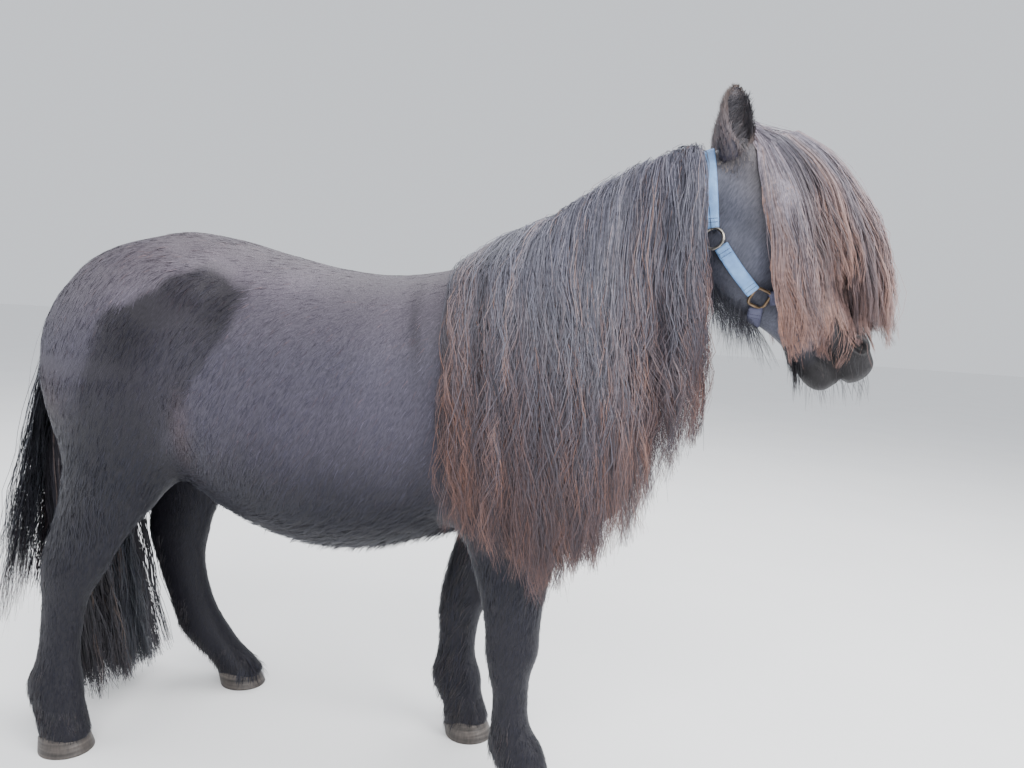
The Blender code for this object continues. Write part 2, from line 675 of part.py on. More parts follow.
def loft(name, rings, closed_ends=True):
    """A closed skin over rings of equally many points, each end closed by one face or one point."""
    points = []
    faces = []
    count = len(rings[0])
    for ring in rings:
        points.extend(ring)
    for row in range(len(rings) - 1):
        for k in range(count):
            a = row * count + k
            b = row * count + (k + 1) % count
            faces.append((a, b, b + count, a + count))
    faces.append(tuple(reversed(range(count))))
    faces.append(tuple(range(len(points) - count, len(points))))
    body = mesh_object(name, points, faces)
    mesh = bmesh.new()
    mesh.from_mesh(body.data)
    bmesh.ops.recalc_face_normals(mesh, faces=mesh.faces[:])
    if mesh.calc_volume(signed=True) < 0:
        bmesh.ops.reverse_faces(mesh, faces=mesh.faces[:])
    bmesh.ops.triangulate(mesh, faces=[face for face in mesh.faces if len(face.verts) > 4])
    mesh.to_mesh(body.data)
    mesh.free()
    return body


def flesh(name, body, planes):
    """The piece of the body behind the planes."""
    piece = combine(copy_of(body, name), [cell(planes)], "INTERSECT")
    keep_largest(piece)
    return piece


# the seams, each a point and the direction out of the piece
def foreleg_planes(side):
    """The thin cuts that part a foreleg from the torso: a point on each and its normal."""
    return (
        ((0.40, side * 0.030, 0.462), (0.0, -side * 0.50, 0.86)),
        ((0.24, 0.0, 0.45), (-1.0, 0.0, 0.45)),
        ((0.0, side * 0.006, 0.0), (0.0, -side, 0.0)),
    )


def hindleg_planes(side):
    """The thin cuts that part a hind leg from the torso: a point on each and its normal."""
    return (
        ((-0.35, side * 0.020, 0.520), (0.0, -side * 0.62, 0.78)),
        ((-0.195, 0.0, 0.55), (1.0, 0.0, 0.25)),
        ((0.0, side * 0.006, 0.0), (0.0, -side, 0.0)),
    )


def coronet_plane(hoof):
    """The seam over a hoof, higher at its front."""
    x, y, *_ = hoof
    return (x, y, 0.044), (0.42, 0.0, -0.91)


def hoof_body(name, hoof):
    """A hoof on a flat sole: rings from the ground up to the slanted coronet."""
    x, y, length, width, lean = hoof
    (px, _, pz), (nx, _, nz) = coronet_plane(hoof)
    rings = []
    for share, size in HOOF_RINGS:
        ring = []
        for k in range(HOOF_POINTS):
            turn = 2 * math.pi * k / HOOF_POINTS
            along = 0.5 * length * math.cos(turn) * (1.0 if math.cos(turn) > 0 else 0.92)
            across = 0.5 * width * math.sin(turn)
            top_x = x - lean + along * 0.80
            top_z = pz + (top_x - px) * nx / -nz - GAP
            ring.append(
                (
                    x + along * size + (top_x - x - along) * share,
                    y + across * size * (1 - 0.20 * share),
                    top_z * share,
                )
            )
        rings.append(ring)
    return loft(name, rings)


def ear_body(name, side):
    """A cupped ear: rings open at the front, outer wall then inner wall, from its root to its tip."""
    root = np.array(head_point(*EAR_ROOT[:2], side * EAR_ROOT[2]))
    tip = np.array(head_point(*EAR_TIP[:2], side * EAR_TIP[2]))
    axis = (tip - root) / np.linalg.norm(tip - root)
    opening = np.array((0.62, side * 0.78, 0.0))
    opening = opening - axis * (opening @ axis)
    opening /= np.linalg.norm(opening)
    across = np.cross(axis, opening)
    rings = []
    for share, width, depth, wall, curl in EAR_RINGS:
        middle = root + (tip - root) * share + opening * EAR_BOW * math.sin(math.pi * share)
        ring = []
        for inner in (0, 1):
            turns = np.linspace(-curl, curl, EAR_POINTS)
            for turn in turns[::-1] if inner else turns:
                w = max(width - wall * inner, 0.0006)
                d = max(depth - wall * inner, 0.0006)
                angle = math.radians(turn)
                ring.append(middle + across * w * math.sin(angle) - opening * d * math.cos(angle))
        rings.append(ring)
    return loft(name, rings)


def ball(name, centre, radius, rings=7, sectors=12):
    """A round body of rings and sectors."""
    points = [(0, 0, radius)]
    faces = []
    for row in range(1, rings):
        tilt = math.pi * row / rings
        for k in range(sectors):
            turn = 2 * math.pi * k / sectors
            flat = radius * math.sin(tilt)
            points.append((flat * math.cos(turn), flat * math.sin(turn), radius * math.cos(tilt)))
    points.append((0, 0, -radius))
    last = len(points) - 1
    for k in range(sectors):
        after = (k + 1) % sectors
        faces.append((0, 1 + k, 1 + after))
        for row in range(rings - 2):
            a, b = 1 + row * sectors + k, 1 + row * sectors + after
            faces.append((a, a + sectors, b + sectors, b))
        base = 1 + (rings - 2) * sectors
        faces.append((last, base + after, base + k))
    return mesh_object(name, [np.array(p) + np.array(centre) for p in points], faces)


def on_head(distance, seeds, count):
    """A smooth line of count points on the head, through seeds given in the head's frame."""
    seeds = np.array([head_point(*seed) for seed in seeds])
    steps = np.linalg.norm(np.diff(seeds, axis=0), axis=1)
    at = np.concatenate([[0], np.cumsum(steps)])
    places = np.linspace(0, at[-1], count)
    rows = np.column_stack([at, seeds])
    line = settle(distance, smooth_columns(rows, places).T, 6)
    for _ in range(30):
        line[1:-1] = line[1:-1] / 2 + (line[:-2] + line[2:]) / 4
        short = np.maximum(-distance(line), 0)
        line += unit(slope_of(distance, line)) * short[:, None]
    return line


def strap_body(name, distance, seeds, count, pinch=1.0):
    """A flat band laid on the head along seeds, thicker and pinched where it folds round a ring."""
    line = on_head(distance, seeds, count)
    up = unit(slope_of(distance, line))
    for _ in range(12):
        up[1:-1] = up[1:-1] / 2 + (up[:-2] + up[2:]) / 4
    run = unit(np.gradient(line, axis=0))
    across = unit(np.cross(run, up))
    up = np.cross(across, run)
    way = np.linspace(0, 1, count)
    length = np.linalg.norm(np.diff(line, axis=0), axis=1).sum()
    from_end = np.minimum(way, 1 - way) * length
    over = np.where(from_end < STRAP_FOLD, STRAP_FOLDED, STRAP_THICK)
    wide = np.interp(from_end, (0, STRAP_FOLD, 2 * STRAP_FOLD), (pinch, pinch, 1.0)) * STRAP_WIDTH
    rings = []
    for k in range(count):
        half = across[k] * wide[k] / 2
        low = line[k] - up[k] * STRAP_SUNK
        high = line[k] + up[k] * over[k]
        rings.append([low - half, low + half, high + half * 0.94, high - half * 0.94])
    return loft(name, rings)


def ring_body(name, distance, centre, radius, wire, square=2.0, sectors=14, sides=5):
    """A wire ring lying flat against the head; a squareness above 2 makes it square."""
    middle = settle(distance, np.array([head_point(*centre)]), 6)
    up = slope_of(distance, middle)[0]
    up /= np.linalg.norm(up)
    middle = middle[0] + up * RING_HEIGHT
    first = np.cross(up, np.array((0.35, 0.0, 0.94)))
    first /= np.linalg.norm(first)
    second = np.cross(up, first)
    rings = []
    for k in range(sectors):
        turn = 2 * math.pi * k / sectors
        c, s = math.cos(turn), math.sin(turn)
        reach = radius / (abs(c) ** square + abs(s) ** square) ** (1 / square)
        out = first * c + second * s
        spot = middle + out * reach
        rings.append(
            [
                spot + (out * math.cos(a) + up * math.sin(a)) * wire
                for a in (2 * math.pi * j / sides for j in range(sides))
            ]
        )
    points = [point for ring in rings for point in ring]
    faces = []
    for k in range(sectors):
        for j in range(sides):
            a, b = k * sides + j, k * sides + (j + 1) % sides
            c, d = (k + 1) % sectors * sides + (j + 1) % sides, (k + 1) % sectors * sides + j
            faces.append((a, b, c, d))
    body = mesh_object(name, points, faces)
    mesh = bmesh.new()
    mesh.from_mesh(body.data)
    if mesh.calc_volume(signed=True) < 0:
        bmesh.ops.reverse_faces(mesh, faces=mesh.faces[:])
    mesh.to_mesh(body.data)
    mesh.free()
    return body


def unit(v):
    """Rows of vectors at length one."""
    return v / np.maximum(np.linalg.norm(v, axis=1), 1e-9)[:, None]


def fall(roots, starts, ends, clear, keep_off, drift, wall=None, step=0.022, stiff=0.62):
    """Paths of hair from roots: off along starts, then down over what it meets, to the level ends."""
    down = np.array((0.0, 0.0, -1.0))
    heading = unit(starts)
    place = roots.copy()
    trail = [place - heading * ROOT_SUNK, place]
    for n in range(80):
        heading = unit(heading * stiff + (down + drift) * (1 - stiff))
        after = place + heading * step
        for _ in range(3):
            short = clear * min(1.0, 0.35 + 0.3 * n) - keep_off(after)
            out = unit(slope_of(keep_off, after))
            after = after + out * np.maximum(short, 0)[:, None]
            if wall is not None:
                after = wall(after)
        done = place[:, 2] <= ends
        after[done] = place[done]
        heading = np.where(done[:, None], heading, unit(after - place))
        place = after
        trail.append(place)
        if done.all():
            break
    return np.stack(trail, 1)


def spaced(path, count):
    """The path's points taken again, count of them at even steps."""
    steps = np.linalg.norm(np.diff(path, axis=0), axis=1)
    at = np.concatenate([[0], np.cumsum(steps)])
    keep = np.concatenate([[True], steps > 1e-6])
    at, path = at[keep], path[keep]
    places = np.linspace(0, at[-1], count)
    return np.column_stack([np.interp(places, at, path[:, i]) for i in range(3)])


def lock_body(path, outward, width, thick, sections, bends, full, rng, root=0.45):
    """One flat lock along a path, narrow at its root, wide up to the share full and drawn to a point."""
    line = spaced(path, sections + 1)
    run = unit(np.gradient(line, axis=0))
    across = unit(np.cross(run, outward[: len(line)]))
    up = np.cross(across, run)
    share = np.linspace(0, 1, sections + 1)
    swing = bends * np.sin(share * 2 * math.pi * rng.uniform(0.9, 1.5) + rng.uniform(0, 6.28)) * share**0.7
    line = line + across * swing[:, None]
    size = np.interp(share, (0, 0.22, full, 1), (root, 1.0, 0.88, 0.0))
    rings = []
    for k in range(sections):
        w = across[k] * width / 2 * size[k]
        t = up[k] * thick / 2 * (0.5 + 0.5 * size[k])
        rings.append([line[k] - w, line[k] + t, line[k] + w, line[k] - t])
    points = [point for ring in rings for point in ring] + [line[-1]]
    faces = []
    for k in range(sections - 1):
        for j in range(4):
            a, b = k * 4 + j, k * 4 + (j + 1) % 4
            faces.append((a, b, b + 4, a + 4))
    last = (sections - 1) * 4
    for j in range(4):
        faces.append((last + j, last + (j + 1) % 4, len(points) - 1))
    faces.append((3, 2, 1, 0))
    body = mesh_object("lock", points, faces)
    mesh = bmesh.new()
    mesh.from_mesh(body.data)
    bmesh.ops.triangulate(mesh, faces=mesh.faces[:])
    if mesh.calc_volume(signed=True) < 0:
        bmesh.ops.reverse_faces(mesh, faces=mesh.faces[:])
    mesh.to_mesh(body.data)
    mesh.free()
    return body


def tree_of(body):
    """A search tree of a body's triangles."""
    mesh = bmesh.new()
    mesh.from_mesh(body.data)
    bmesh.ops.triangulate(mesh, faces=mesh.faces[:])
    tree = BVHTree.FromBMesh(mesh)
    mesh.free()
    return tree


def cut_clear(body, others):
    """Takes off the body whatever reaches into the others, and a gap's width round them."""
    for other in others:
        if tree_of(body).overlap(tree_of(other)):
            combine(body, [grown(other, GAP * 1.6)], "DIFFERENCE")
            keep_largest(body)


def crosses_itself(body):
    """Whether any two faces of a body that share no corner meet."""
    mesh = bmesh.new()
    mesh.from_mesh(body.data)
    mesh.faces.ensure_lookup_table()
    tree = BVHTree.FromBMesh(mesh)
    corners = [set(vertex.index for vertex in face.verts) for face in mesh.faces]
    mesh.free()
    return any(a < b and not corners[a] & corners[b] for a, b in tree.overlap(tree))


def outward_of(keep_off, path, count):
    """Directions away from the body along a path."""
    return unit(slope_of(keep_off, spaced(path, count)))


def locks_along(paths, keep_off, look, rng, clear=0.0, facing=None):
    """A lock for each path. look holds the width, thickness, sections, bend and where it narrows."""
    width, thick, sections, bends, full = look
    found = []
    for path in paths:
        path = spaced(path, 24)
        for _ in range(4):
            path[1:-1] = path[1:-1] / 2 + (path[:-2] + path[2:]) / 4
        if clear:
            path = pushed_clear(path, keep_off, clear)
        out = outward_of(keep_off, path, sections + 1)
        if facing is not None:
            out = np.tile(facing, (sections + 1, 1))
        for _ in range(3):
            out[1:-1] = out[1:-1] / 2 + (out[:-2] + out[2:]) / 4
        wide = width * rng.uniform(0.8, 1.2)
        lock = lock_body(path, out, wide, thick, sections, bends, full, rng)
        while crosses_itself(lock):
            remove(lock)
            wide *= 0.7
            lock = lock_body(path, out, wide, thick, sections, bends, full, rng)
        found.append(lock)
    return found


def make_model():
    """Builds every piece and stands them on the floor."""
    for old in list(bpy.data.objects):
        bpy.data.objects.remove(old)
    rng = np.random.default_rng(SEED)
    forms = body_forms()
    head = head_forms()
    hollows = head_hollows()
    hooves = with_boxes([hoof_form(hoof) for hoof in HOOVES.values()])
    ears = [ear_form(1), ear_form(-1)]
    eyes = both_sides(EYE, (EYE_RADIUS,) * 3, frame=HEAD_FRAME, blend=0.002)
    on_face = with_boxes(ears + eyes)
    dock = with_boxes([swept(DOCK, LEG_FRAME, cap=0.015, blend=0.01)])

    def whole(p):
        return body_distance(p, forms + head, hollows)

    def body_part(p):
        return np.maximum(whole(p), p[:, 0] - HEAD_SEAM - 0.02)

    def head_part(p):
        return np.maximum(whole(p), HEAD_SEAM - 0.02 - p[:, 0])

    def dock_part(p):
        return np.maximum(body_distance(p, dock), 0.004 - body_distance(p, forms))

    def clear_of_all(p):
        return np.minimum(whole(p), body_distance(p, hooves))

    def clear_of_head(p):
        return np.minimum(whole(p), body_distance(p, on_face))

    def skin(name, distance, low, high, step, triangles):
        points, quads = surface_of(distance, low, high, step)
        points = settle(distance, points, 1)
        body = mesh_object(name, points, quads)
        thin_out(body, triangles)
        return body

    body = skin("body", body_part, (-0.56, -0.30, -0.04), (0.68, 0.30, 1.25), 0.009, BODY_TRIANGLES)
    face = skin("face", head_part, (0.58, -0.14, 0.72), (0.98, 0.14, 1.25), 0.0035, HEAD_TRIANGLES)

    pieces = {}
    seams = []
    for leg, hoof in HOOVES.items():
        side = 1 if leg.endswith("left") else -1
        planes = foreleg_planes(side) if leg.startswith("fore") else hindleg_planes(side)
        seams.append(planes)
        pieces[leg] = flesh(leg, body, (*planes, coronet_plane(hoof)))
        pieces["hoof_" + leg] = hoof_body("hoof_" + leg, hoof)
    neck_planes = (NECK_SEAM, ((HEAD_SEAM, 0, 0), (1, 0, 0)))
    pieces["neck"] = flesh("neck", body, neck_planes)
    cells = [cell(planes, GAP) for planes in (*seams, (NECK_SEAM,))]
    pieces["torso"] = combine(copy_of(body, "torso"), cells, "DIFFERENCE")
    keep_largest(pieces["torso"])
    pieces["head"] = flesh("head", face, (((HEAD_SEAM + GAP, 0, 0), (-1, 0, 0)),))
    remove(body, face)

    for side, name in ((1, "left"), (-1, "right")):
        centre = head_point(EYE[0], EYE[1], side * EYE[2])
        pieces["eye_" + name] = ball("eye_" + name, centre, EYE_RADIUS)
        combine(pieces["head"], [ball("socket", centre, EYE_RADIUS + GAP * 1.6)], "DIFFERENCE")
        keep_largest(pieces["head"])
        ear = ear_body("ear_" + name, side)
        combine(ear, [grown(pieces["head"], GAP * 1.6)], "DIFFERENCE")
        keep_largest(ear)
        pieces["ear_" + name] = ear

    halter = {}
    for side, name in ((1, "left"), (-1, "right")):
        high, low = turned(HIGH_RING, side), turned(LOW_RING, side)
        halter["ring_" + name] = ring_body("halter_ring_" + name, whole, high, 0.0165, 0.0026)
        halter["link_" + name] = ring_body("halter_link_" + name, whole, low, 0.0150, 0.0026, 4.5)
        halter["cheek_" + name] = strap_body(
            "halter_cheek_" + name, whole, [turned(seed, side) for seed in CHEEK_STRAP], 8
        )
    for name, seeds, count in (
        ("crown", CROWN_STRAP, 16),
        ("throat", THROAT_STRAP, 13),
        ("nose", NOSE_STRAP, 14),
        ("chin", CHIN_STRAP, 13),
    ):
        line = list(seeds) + [turned(seed, -1) for seed in reversed(seeds) if seed[2]]
        halter[name] = strap_body("halter_" + name, whole, line, count, 0.5 if name == "throat" else 1.0)
    for name, strap in halter.items():
        if name.startswith(("ring", "link")):
            continue
        cutters = [grown(pieces["head"], GAP * 1.6)]
        rings = [ring for ring in STRAP_ENDS[name.split("_")[0]] if fits(ring, name)]
        cutters += [grown(halter[ring], GAP * 1.6) for ring in rings]
        combine(strap, cutters, "DIFFERENCE")
        keep_largest(strap)
    for name, strap in halter.items():
        pieces["halter_" + name] = strap

    pieces["tail"] = skin("tail", dock_part, (-0.62, -0.06, 0.56), (-0.40, 0.06, 0.94), 0.006, 500)

    grow_hair(pieces, rng, whole, clear_of_all, clear_of_head)
    settle_down(pieces)


def settle_down(pieces):
    """Stands the model over the middle of its own footprint."""
    points = np.array([vertex.co for body in pieces.values() for vertex in body.data.vertices])
    low, high = points.min(0), points.max(0)
    shift = Vector((-(low[0] + high[0]) / 2, -(low[1] + high[1]) / 2, -low[2]))
    for name, body in pieces.items():
        body.name = name
        body.data.transform(Matrix.Translation(shift))
        body.data.name = name


def turned(seed, side):
    """A place on the head's left taken to the side asked for."""
    along, up, across = seed
    return (along, up, across * side)


def fits(ring, strap):
    """Whether the ring is on the strap's own side."""
    for side in ("left", "right"):
        if strap.endswith(side):
            return ring.endswith(side)
    return True


def hoof_form(hoof):
    """The hoof as a swept form, to keep hair off it."""
    x, y, length, width, lean = hoof
    rows = (
        (0.000, x + length / 2, x - length / 2, width / 2, y, 0.5, 2.0),
        (0.055, x - lean + length * 0.42, x - lean - length * 0.40, width * 0.42, y, 0.5, 2.0),
    )
    return swept(rows, LEG_FRAME, cap=0.004, blend=0.005)


def ear_form(side):
    """The ear as one round form, to keep hair off it."""
    along = (EAR_ROOT[0] + EAR_TIP[0]) / 2
    up = (EAR_ROOT[1] + EAR_TIP[1]) / 2
    return lump((along, up, side * 0.057), (0.060, 0.034, 0.028), tilt=153, frame=HEAD_FRAME, blend=0.01)


def on_top(distance, x, y):
    """The highest surface over each x, y of the neck."""
    low = 0.70 + np.maximum(x - 0.36, 0) * 1.2
    high = np.full(len(x), 1.35)
    for _ in range(24):
        middle = (low + high) / 2
        inside = distance(np.column_stack([x, y, middle])) < 0
        low = np.where(inside, middle, low)
        high = np.where(inside, high, middle)
    return np.column_stack([x, y, low])


def mane_paths(side, count, ends, rng, whole, clear_of_all):
    """The mane's locks on one side, from the crest over the neck and down between two walls."""
    x = np.linspace(*MANE_SPAN, count) + rng.uniform(-0.006, 0.006, count)
    y = side * rng.uniform(-0.012, 0.034, count)
    roots = on_top(whole, x, y)
    back = np.interp(x, (0.32, 0.40), (-0.45, 0.0)) + rng.uniform(-0.1, 0.1, count)
    starts = np.column_stack([back, side * rng.uniform(0.5, 1.0, count), np.full(count, 0.75)])
    reach = np.interp(x, *np.array(ends).T) + np.abs(rng.normal(0, 0.022, count))
    drift = np.column_stack([np.interp(x, *np.array(MANE_DRIFT).T), np.zeros(count), np.zeros(count)])
    clear = rng.uniform(*MANE_CLEAR, count)
    behind = 0.262 + rng.uniform(0, 0.03, count)

    def wall(p):
        p = p.copy()
        limit = np.where(p[:, 2] > 0.95, 0.622, 0.655)
        p[:, 0] = np.clip(p[:, 0], behind, limit)
        return p

    return fall(roots, starts, reach, clear, clear_of_all, drift, wall)


def forelock_paths(count, rng, whole):
    """Locks from the poll over the face; each has its own turn about the head's axis."""
    turns = np.linspace(-90, 90, count) + rng.uniform(-6, 6, count)
    paths = []
    for turn in np.radians(turns):
        tight = rng.uniform(0.75, 1.0)
        ends = np.interp(abs(math.degrees(turn)), *np.array(FORELOCK_ENDS).T) + rng.uniform(-0.02, 0.02)
        share = np.linspace(0, 1, 14)
        along = FORELOCK_START + (ends - FORELOCK_START) * share
        high, low, wide = (np.interp(along, FORELOCK[:, 0], FORELOCK[:, k]) for k in (1, 2, 3))
        up = low + (high - low) * math.cos(turn) * (0.35 + 0.65 * tight)
        side = wide * math.sin(turn) * (0.80 + 0.20 * tight)
        points = np.array([head_point(a, u, w) for a, u, w in zip(along, up, side)])
        paths.append(points)
    return paths


def pushed_clear(path, keep_off, clear):
    """The path moved out to the clearance, which grows from nothing just past its root."""
    path = path.copy()
    steps = np.linalg.norm(np.diff(path, axis=0), axis=1)
    past_root = np.concatenate([[0], np.cumsum(steps)]) - ROOT_SUNK
    ramp = np.clip(past_root / CLEAR_WITHIN, 0, 1) * clear
    for _ in range(4):
        short = np.where(past_root > 0.002, ramp - keep_off(path), 0)
        path += unit(slope_of(keep_off, path)) * np.maximum(short, 0)[:, None]
    return path


def grow_hair(pieces, rng, whole, clear_of_all, clear_of_head):
    """Grows the mane, forelock, beard, tail and feathers into the pieces that carry them."""
    locks = []
    for side, count, ends in ((-1, MANE_RIGHT, MANE_ENDS), (1, MANE_LEFT, MANE_ENDS_LEFT)):
        paths = mane_paths(side, count, ends, rng, whole, clear_of_all)
        locks += locks_along(paths, clear_of_all, MANE_LOOK, rng, MANE_CLEAR[0])
    fuse(pieces["neck"], locks)

    paths = []
    for path in forelock_paths(FORELOCK_COUNT, rng, whole):
        root = settle(whole, path[:1], 6)
        path = np.concatenate([root - unit(slope_of(whole, root)) * ROOT_SUNK, root, path[1:]])
        paths.append(pushed_clear(path, clear_of_head, 0.015))
    locks = locks_along(paths, clear_of_head, FORELOCK_LOOK, rng, 0.017)
    paths = beard_paths(rng, whole)
    locks += locks_along(paths, whole, BEARD_LOOK, rng, facing=np.array((0.1, 1.0, 0.05)))
    fuse(pieces["head"], locks)

    paths = tail_paths(rng, clear_of_all)
    fuse(pieces["tail"], locks_along(paths, clear_of_all, TAIL_LOOK, rng, 0.012))

    for leg, hoof in HOOVES.items():
        paths = feather_paths(leg, hoof, rng, whole, clear_of_all)
        fuse(pieces[leg], locks_along(paths, clear_of_all, FEATHER_LOOK, rng))

    for hairy in HAIRY:
        cut_clear(pieces[hairy], [piece for name, piece in pieces.items() if name not in HAIRY])
    cut_clear(pieces["neck"], [pieces["foreleg_left"], pieces["foreleg_right"], pieces["head"]])
    cut_clear(pieces["tail"], [pieces["hindleg_left"], pieces["hindleg_right"]])


def fuse(body, locks):
    """The body with its locks grown into it as one closed surface."""
    combine(body, locks, "UNION")
    keep_largest(body)
    open_touching(body)


def beard_paths(rng, whole):
    """Short locks under the jaw and one at the chin."""
    along = np.concatenate([np.linspace(*span) for span in BEARD_SPANS] + [np.full(1, 0.392)])
    side = np.resize((0.024, -0.022, 0.004), len(along))
    seeds = np.array([head_point(a, -0.145, w) for a, w in zip(along, side)])
    roots = settle(whole, seeds, 8)
    starts = slope_of(whole, roots)
    ends = roots[:, 2] - rng.uniform(0.035, 0.062, len(roots))
    drift = np.column_stack([rng.uniform(-0.3, 0.1, len(roots)), side * 4, np.zeros(len(roots))])
    return fall(roots, starts, ends, np.zeros(len(roots)), whole, drift, step=0.012, stiff=0.8)


def tail_paths(rng, clear_of_all):
    """Most of the tail hangs left of the middle to near the floor, with shorter wisps on the right."""
    level = np.linspace(0.865, 0.625, TAIL_COUNT)
    rows = np.array(DOCK)
    x = np.interp(level, rows[:, 0], rows[:, 1:3].mean(1)) - 0.006
    side = np.where(np.arange(TAIL_COUNT) % 3 == 1, -1, 1)
    spread = rng.permutation(np.linspace(0.0, 1.0, TAIL_COUNT))
    roots = np.column_stack([x, side * 0.004, level])
    starts = np.column_stack([-1.1 + 0.3 * spread, side * (0.1 + 0.8 * spread), np.full(TAIL_COUNT, 0.05)])
    long, short = rng.uniform(*TAIL_ENDS_LEFT, TAIL_COUNT), rng.uniform(*TAIL_ENDS_RIGHT, TAIL_COUNT)
    ends = np.where(side > 0, long, short)
    sway = np.where(side > 0, -0.02 + 0.22 * spread, -0.06 - 0.16 * spread)
    drift = np.column_stack([np.where(side > 0, 0.12, -0.05), sway, np.zeros(TAIL_COUNT)])
    clear = rng.uniform(*TAIL_CLEAR, TAIL_COUNT)
    return fall(roots, starts, ends, clear, clear_of_all, drift)


def feather_paths(leg, hoof, rng, whole, clear_of_all):
    """Short locks behind and beside one fetlock, hanging over the heel."""
    rows = np.array(LEGS[leg])
    count = FEATHER_COUNT
    turns = np.radians(np.linspace(110, 250, count))
    level = rng.uniform(0.095, 0.130, count)
    centre = np.column_stack([np.interp(level, rows[:, 0], rows[:, k]) for k in range(1, 6)])
    middle = (centre[:, 0] + centre[:, 1]) / 2
    reach = (centre[:, 0] - centre[:, 1]) / 2
    across = centre[:, 3] + centre[:, 2] * np.sin(turns)
    seeds = np.column_stack([middle + reach * np.cos(turns), across, level])
    roots = settle(whole, seeds, 5)
    starts = unit(slope_of(whole, roots)) + np.array((0.0, 0.0, -1.1))
    ends = rng.uniform(0.040, 0.055, count)
    clear, drift = np.full(count, 0.007), np.zeros((count, 3))
    return fall(roots, starts, ends, clear, clear_of_all, drift, step=0.014, stiff=0.7)


make_model()
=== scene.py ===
"""The Shetland pony's looks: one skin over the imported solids, with its coat, long hair and halter.

Lengths are in metres. x runs from tail to nose, y to the pony's left and z up. The body is described again
as a field of signed distance, so that skin, coat and hair can be laid on it as finely as they need.
"""
import json
import math

import bpy
import numpy as np
from mathutils import Matrix, Vector

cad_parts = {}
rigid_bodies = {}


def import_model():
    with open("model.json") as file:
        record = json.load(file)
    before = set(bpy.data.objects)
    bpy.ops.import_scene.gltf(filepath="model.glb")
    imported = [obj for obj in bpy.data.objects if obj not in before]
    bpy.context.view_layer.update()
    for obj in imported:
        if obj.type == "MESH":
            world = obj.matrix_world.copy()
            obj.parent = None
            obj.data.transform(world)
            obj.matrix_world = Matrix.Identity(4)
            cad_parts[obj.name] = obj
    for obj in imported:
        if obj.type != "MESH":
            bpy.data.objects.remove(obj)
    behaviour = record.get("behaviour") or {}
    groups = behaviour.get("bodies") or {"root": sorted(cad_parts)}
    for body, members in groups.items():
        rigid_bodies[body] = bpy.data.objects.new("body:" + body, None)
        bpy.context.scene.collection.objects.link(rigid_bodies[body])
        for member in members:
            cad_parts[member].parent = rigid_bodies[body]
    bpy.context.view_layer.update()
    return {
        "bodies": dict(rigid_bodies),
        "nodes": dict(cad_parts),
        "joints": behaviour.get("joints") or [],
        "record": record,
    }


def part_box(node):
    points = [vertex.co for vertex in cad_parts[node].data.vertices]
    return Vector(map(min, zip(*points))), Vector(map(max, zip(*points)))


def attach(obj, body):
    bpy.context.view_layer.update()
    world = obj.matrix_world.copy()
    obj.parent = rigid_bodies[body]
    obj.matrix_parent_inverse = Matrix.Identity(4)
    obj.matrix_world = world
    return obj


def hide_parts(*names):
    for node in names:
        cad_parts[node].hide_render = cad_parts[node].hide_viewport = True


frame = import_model()
rng = np.random.default_rng(7)

SIDES = ((1, "left"), (-1, "right"))
WITHERS_HEIGHT = 0.985
CROUP_HEIGHT = 0.990
EYE = (0.128, 0.000, 0.064)      # centre of an eye: along the head, up, to the side
LID_OPENING = (EYE[0], EYE[1] - 0.002, 0.086)
EYE_RADIUS = 0.019
HEAD_SEAM = 0.632     # where the neck ends and the head begins
GAP = 0.0003          # kept between pieces that touch
FAR_AWAY = 10.0       # field value well outside a form's reach
REACH = 0.06          # how far outside its own box a form still blends
COAT_DEPTH = 0.003    # how far the skin lies inside the solids
FLOOR_GAP = 0.001     # hair and tufts stay this far above the floor
PATCH = 0.003         # size of a tuft's or a strand's patch on the bake's sheet
TRIANGLE_LIMIT = 190000   # of one piece of hair
TUFT_LIMIT = 60000        # tufts in one piece

# The planes that the body's own forms are measured in: origin (x, z), axis and "up" direction (x, z)
TRUNK_FRAME = ((0.0, 0.0), (1.0, 0.0), (0.0, 1.0))
LEG_FRAME = ((0.0, 0.0), (0.0, 1.0), (1.0, 0.0))
NECK_FRAME = ((0.400, 0.785), (0.667, 0.745), (-0.745, 0.667))
HEAD_FRAME = ((0.700, 1.172), (0.511, -0.860), (0.860, 0.511))

# Stations of a swept form: place on the axis, upper edge, lower edge, half width, side offset,
# level of the widest point from lower edge (0) to upper edge (1), squareness (2 is an ellipse)
TRUNK = (
    (-0.485, 0.860, 0.650, 0.120, 0, 0.55, 2.0),   # buttock
    (-0.440, 0.925, 0.600, 0.165, 0, 0.55, 2.1),   # tail head
    (-0.370, 0.970, 0.560, 0.198, 0, 0.52, 2.2),
    (-0.300, CROUP_HEIGHT, 0.540, 0.212, 0, 0.50, 2.2),   # croup
    (-0.210, 0.984, 0.492, 0.220, 0, 0.48, 2.2),   # point of hip
    (-0.100, 0.960, 0.447, 0.238, 0, 0.44, 2.2),
    (0.020, 0.938, 0.424, 0.250, 0, 0.42, 2.2),    # lowest of the belly
    (0.120, 0.932, 0.430, 0.242, 0, 0.43, 2.2),
    (0.220, 0.946, 0.458, 0.218, 0, 0.45, 2.2),    # girth
    (0.310, 0.975, 0.485, 0.192, 0, 0.45, 2.1),
    (0.360, WITHERS_HEIGHT, 0.500, 0.178, 0, 0.45, 2.1),  # withers
    (0.430, 0.965, 0.540, 0.165, 0, 0.45, 2.1),
    (0.500, 0.890, 0.590, 0.140, 0, 0.45, 2.0),    # point of shoulder
)
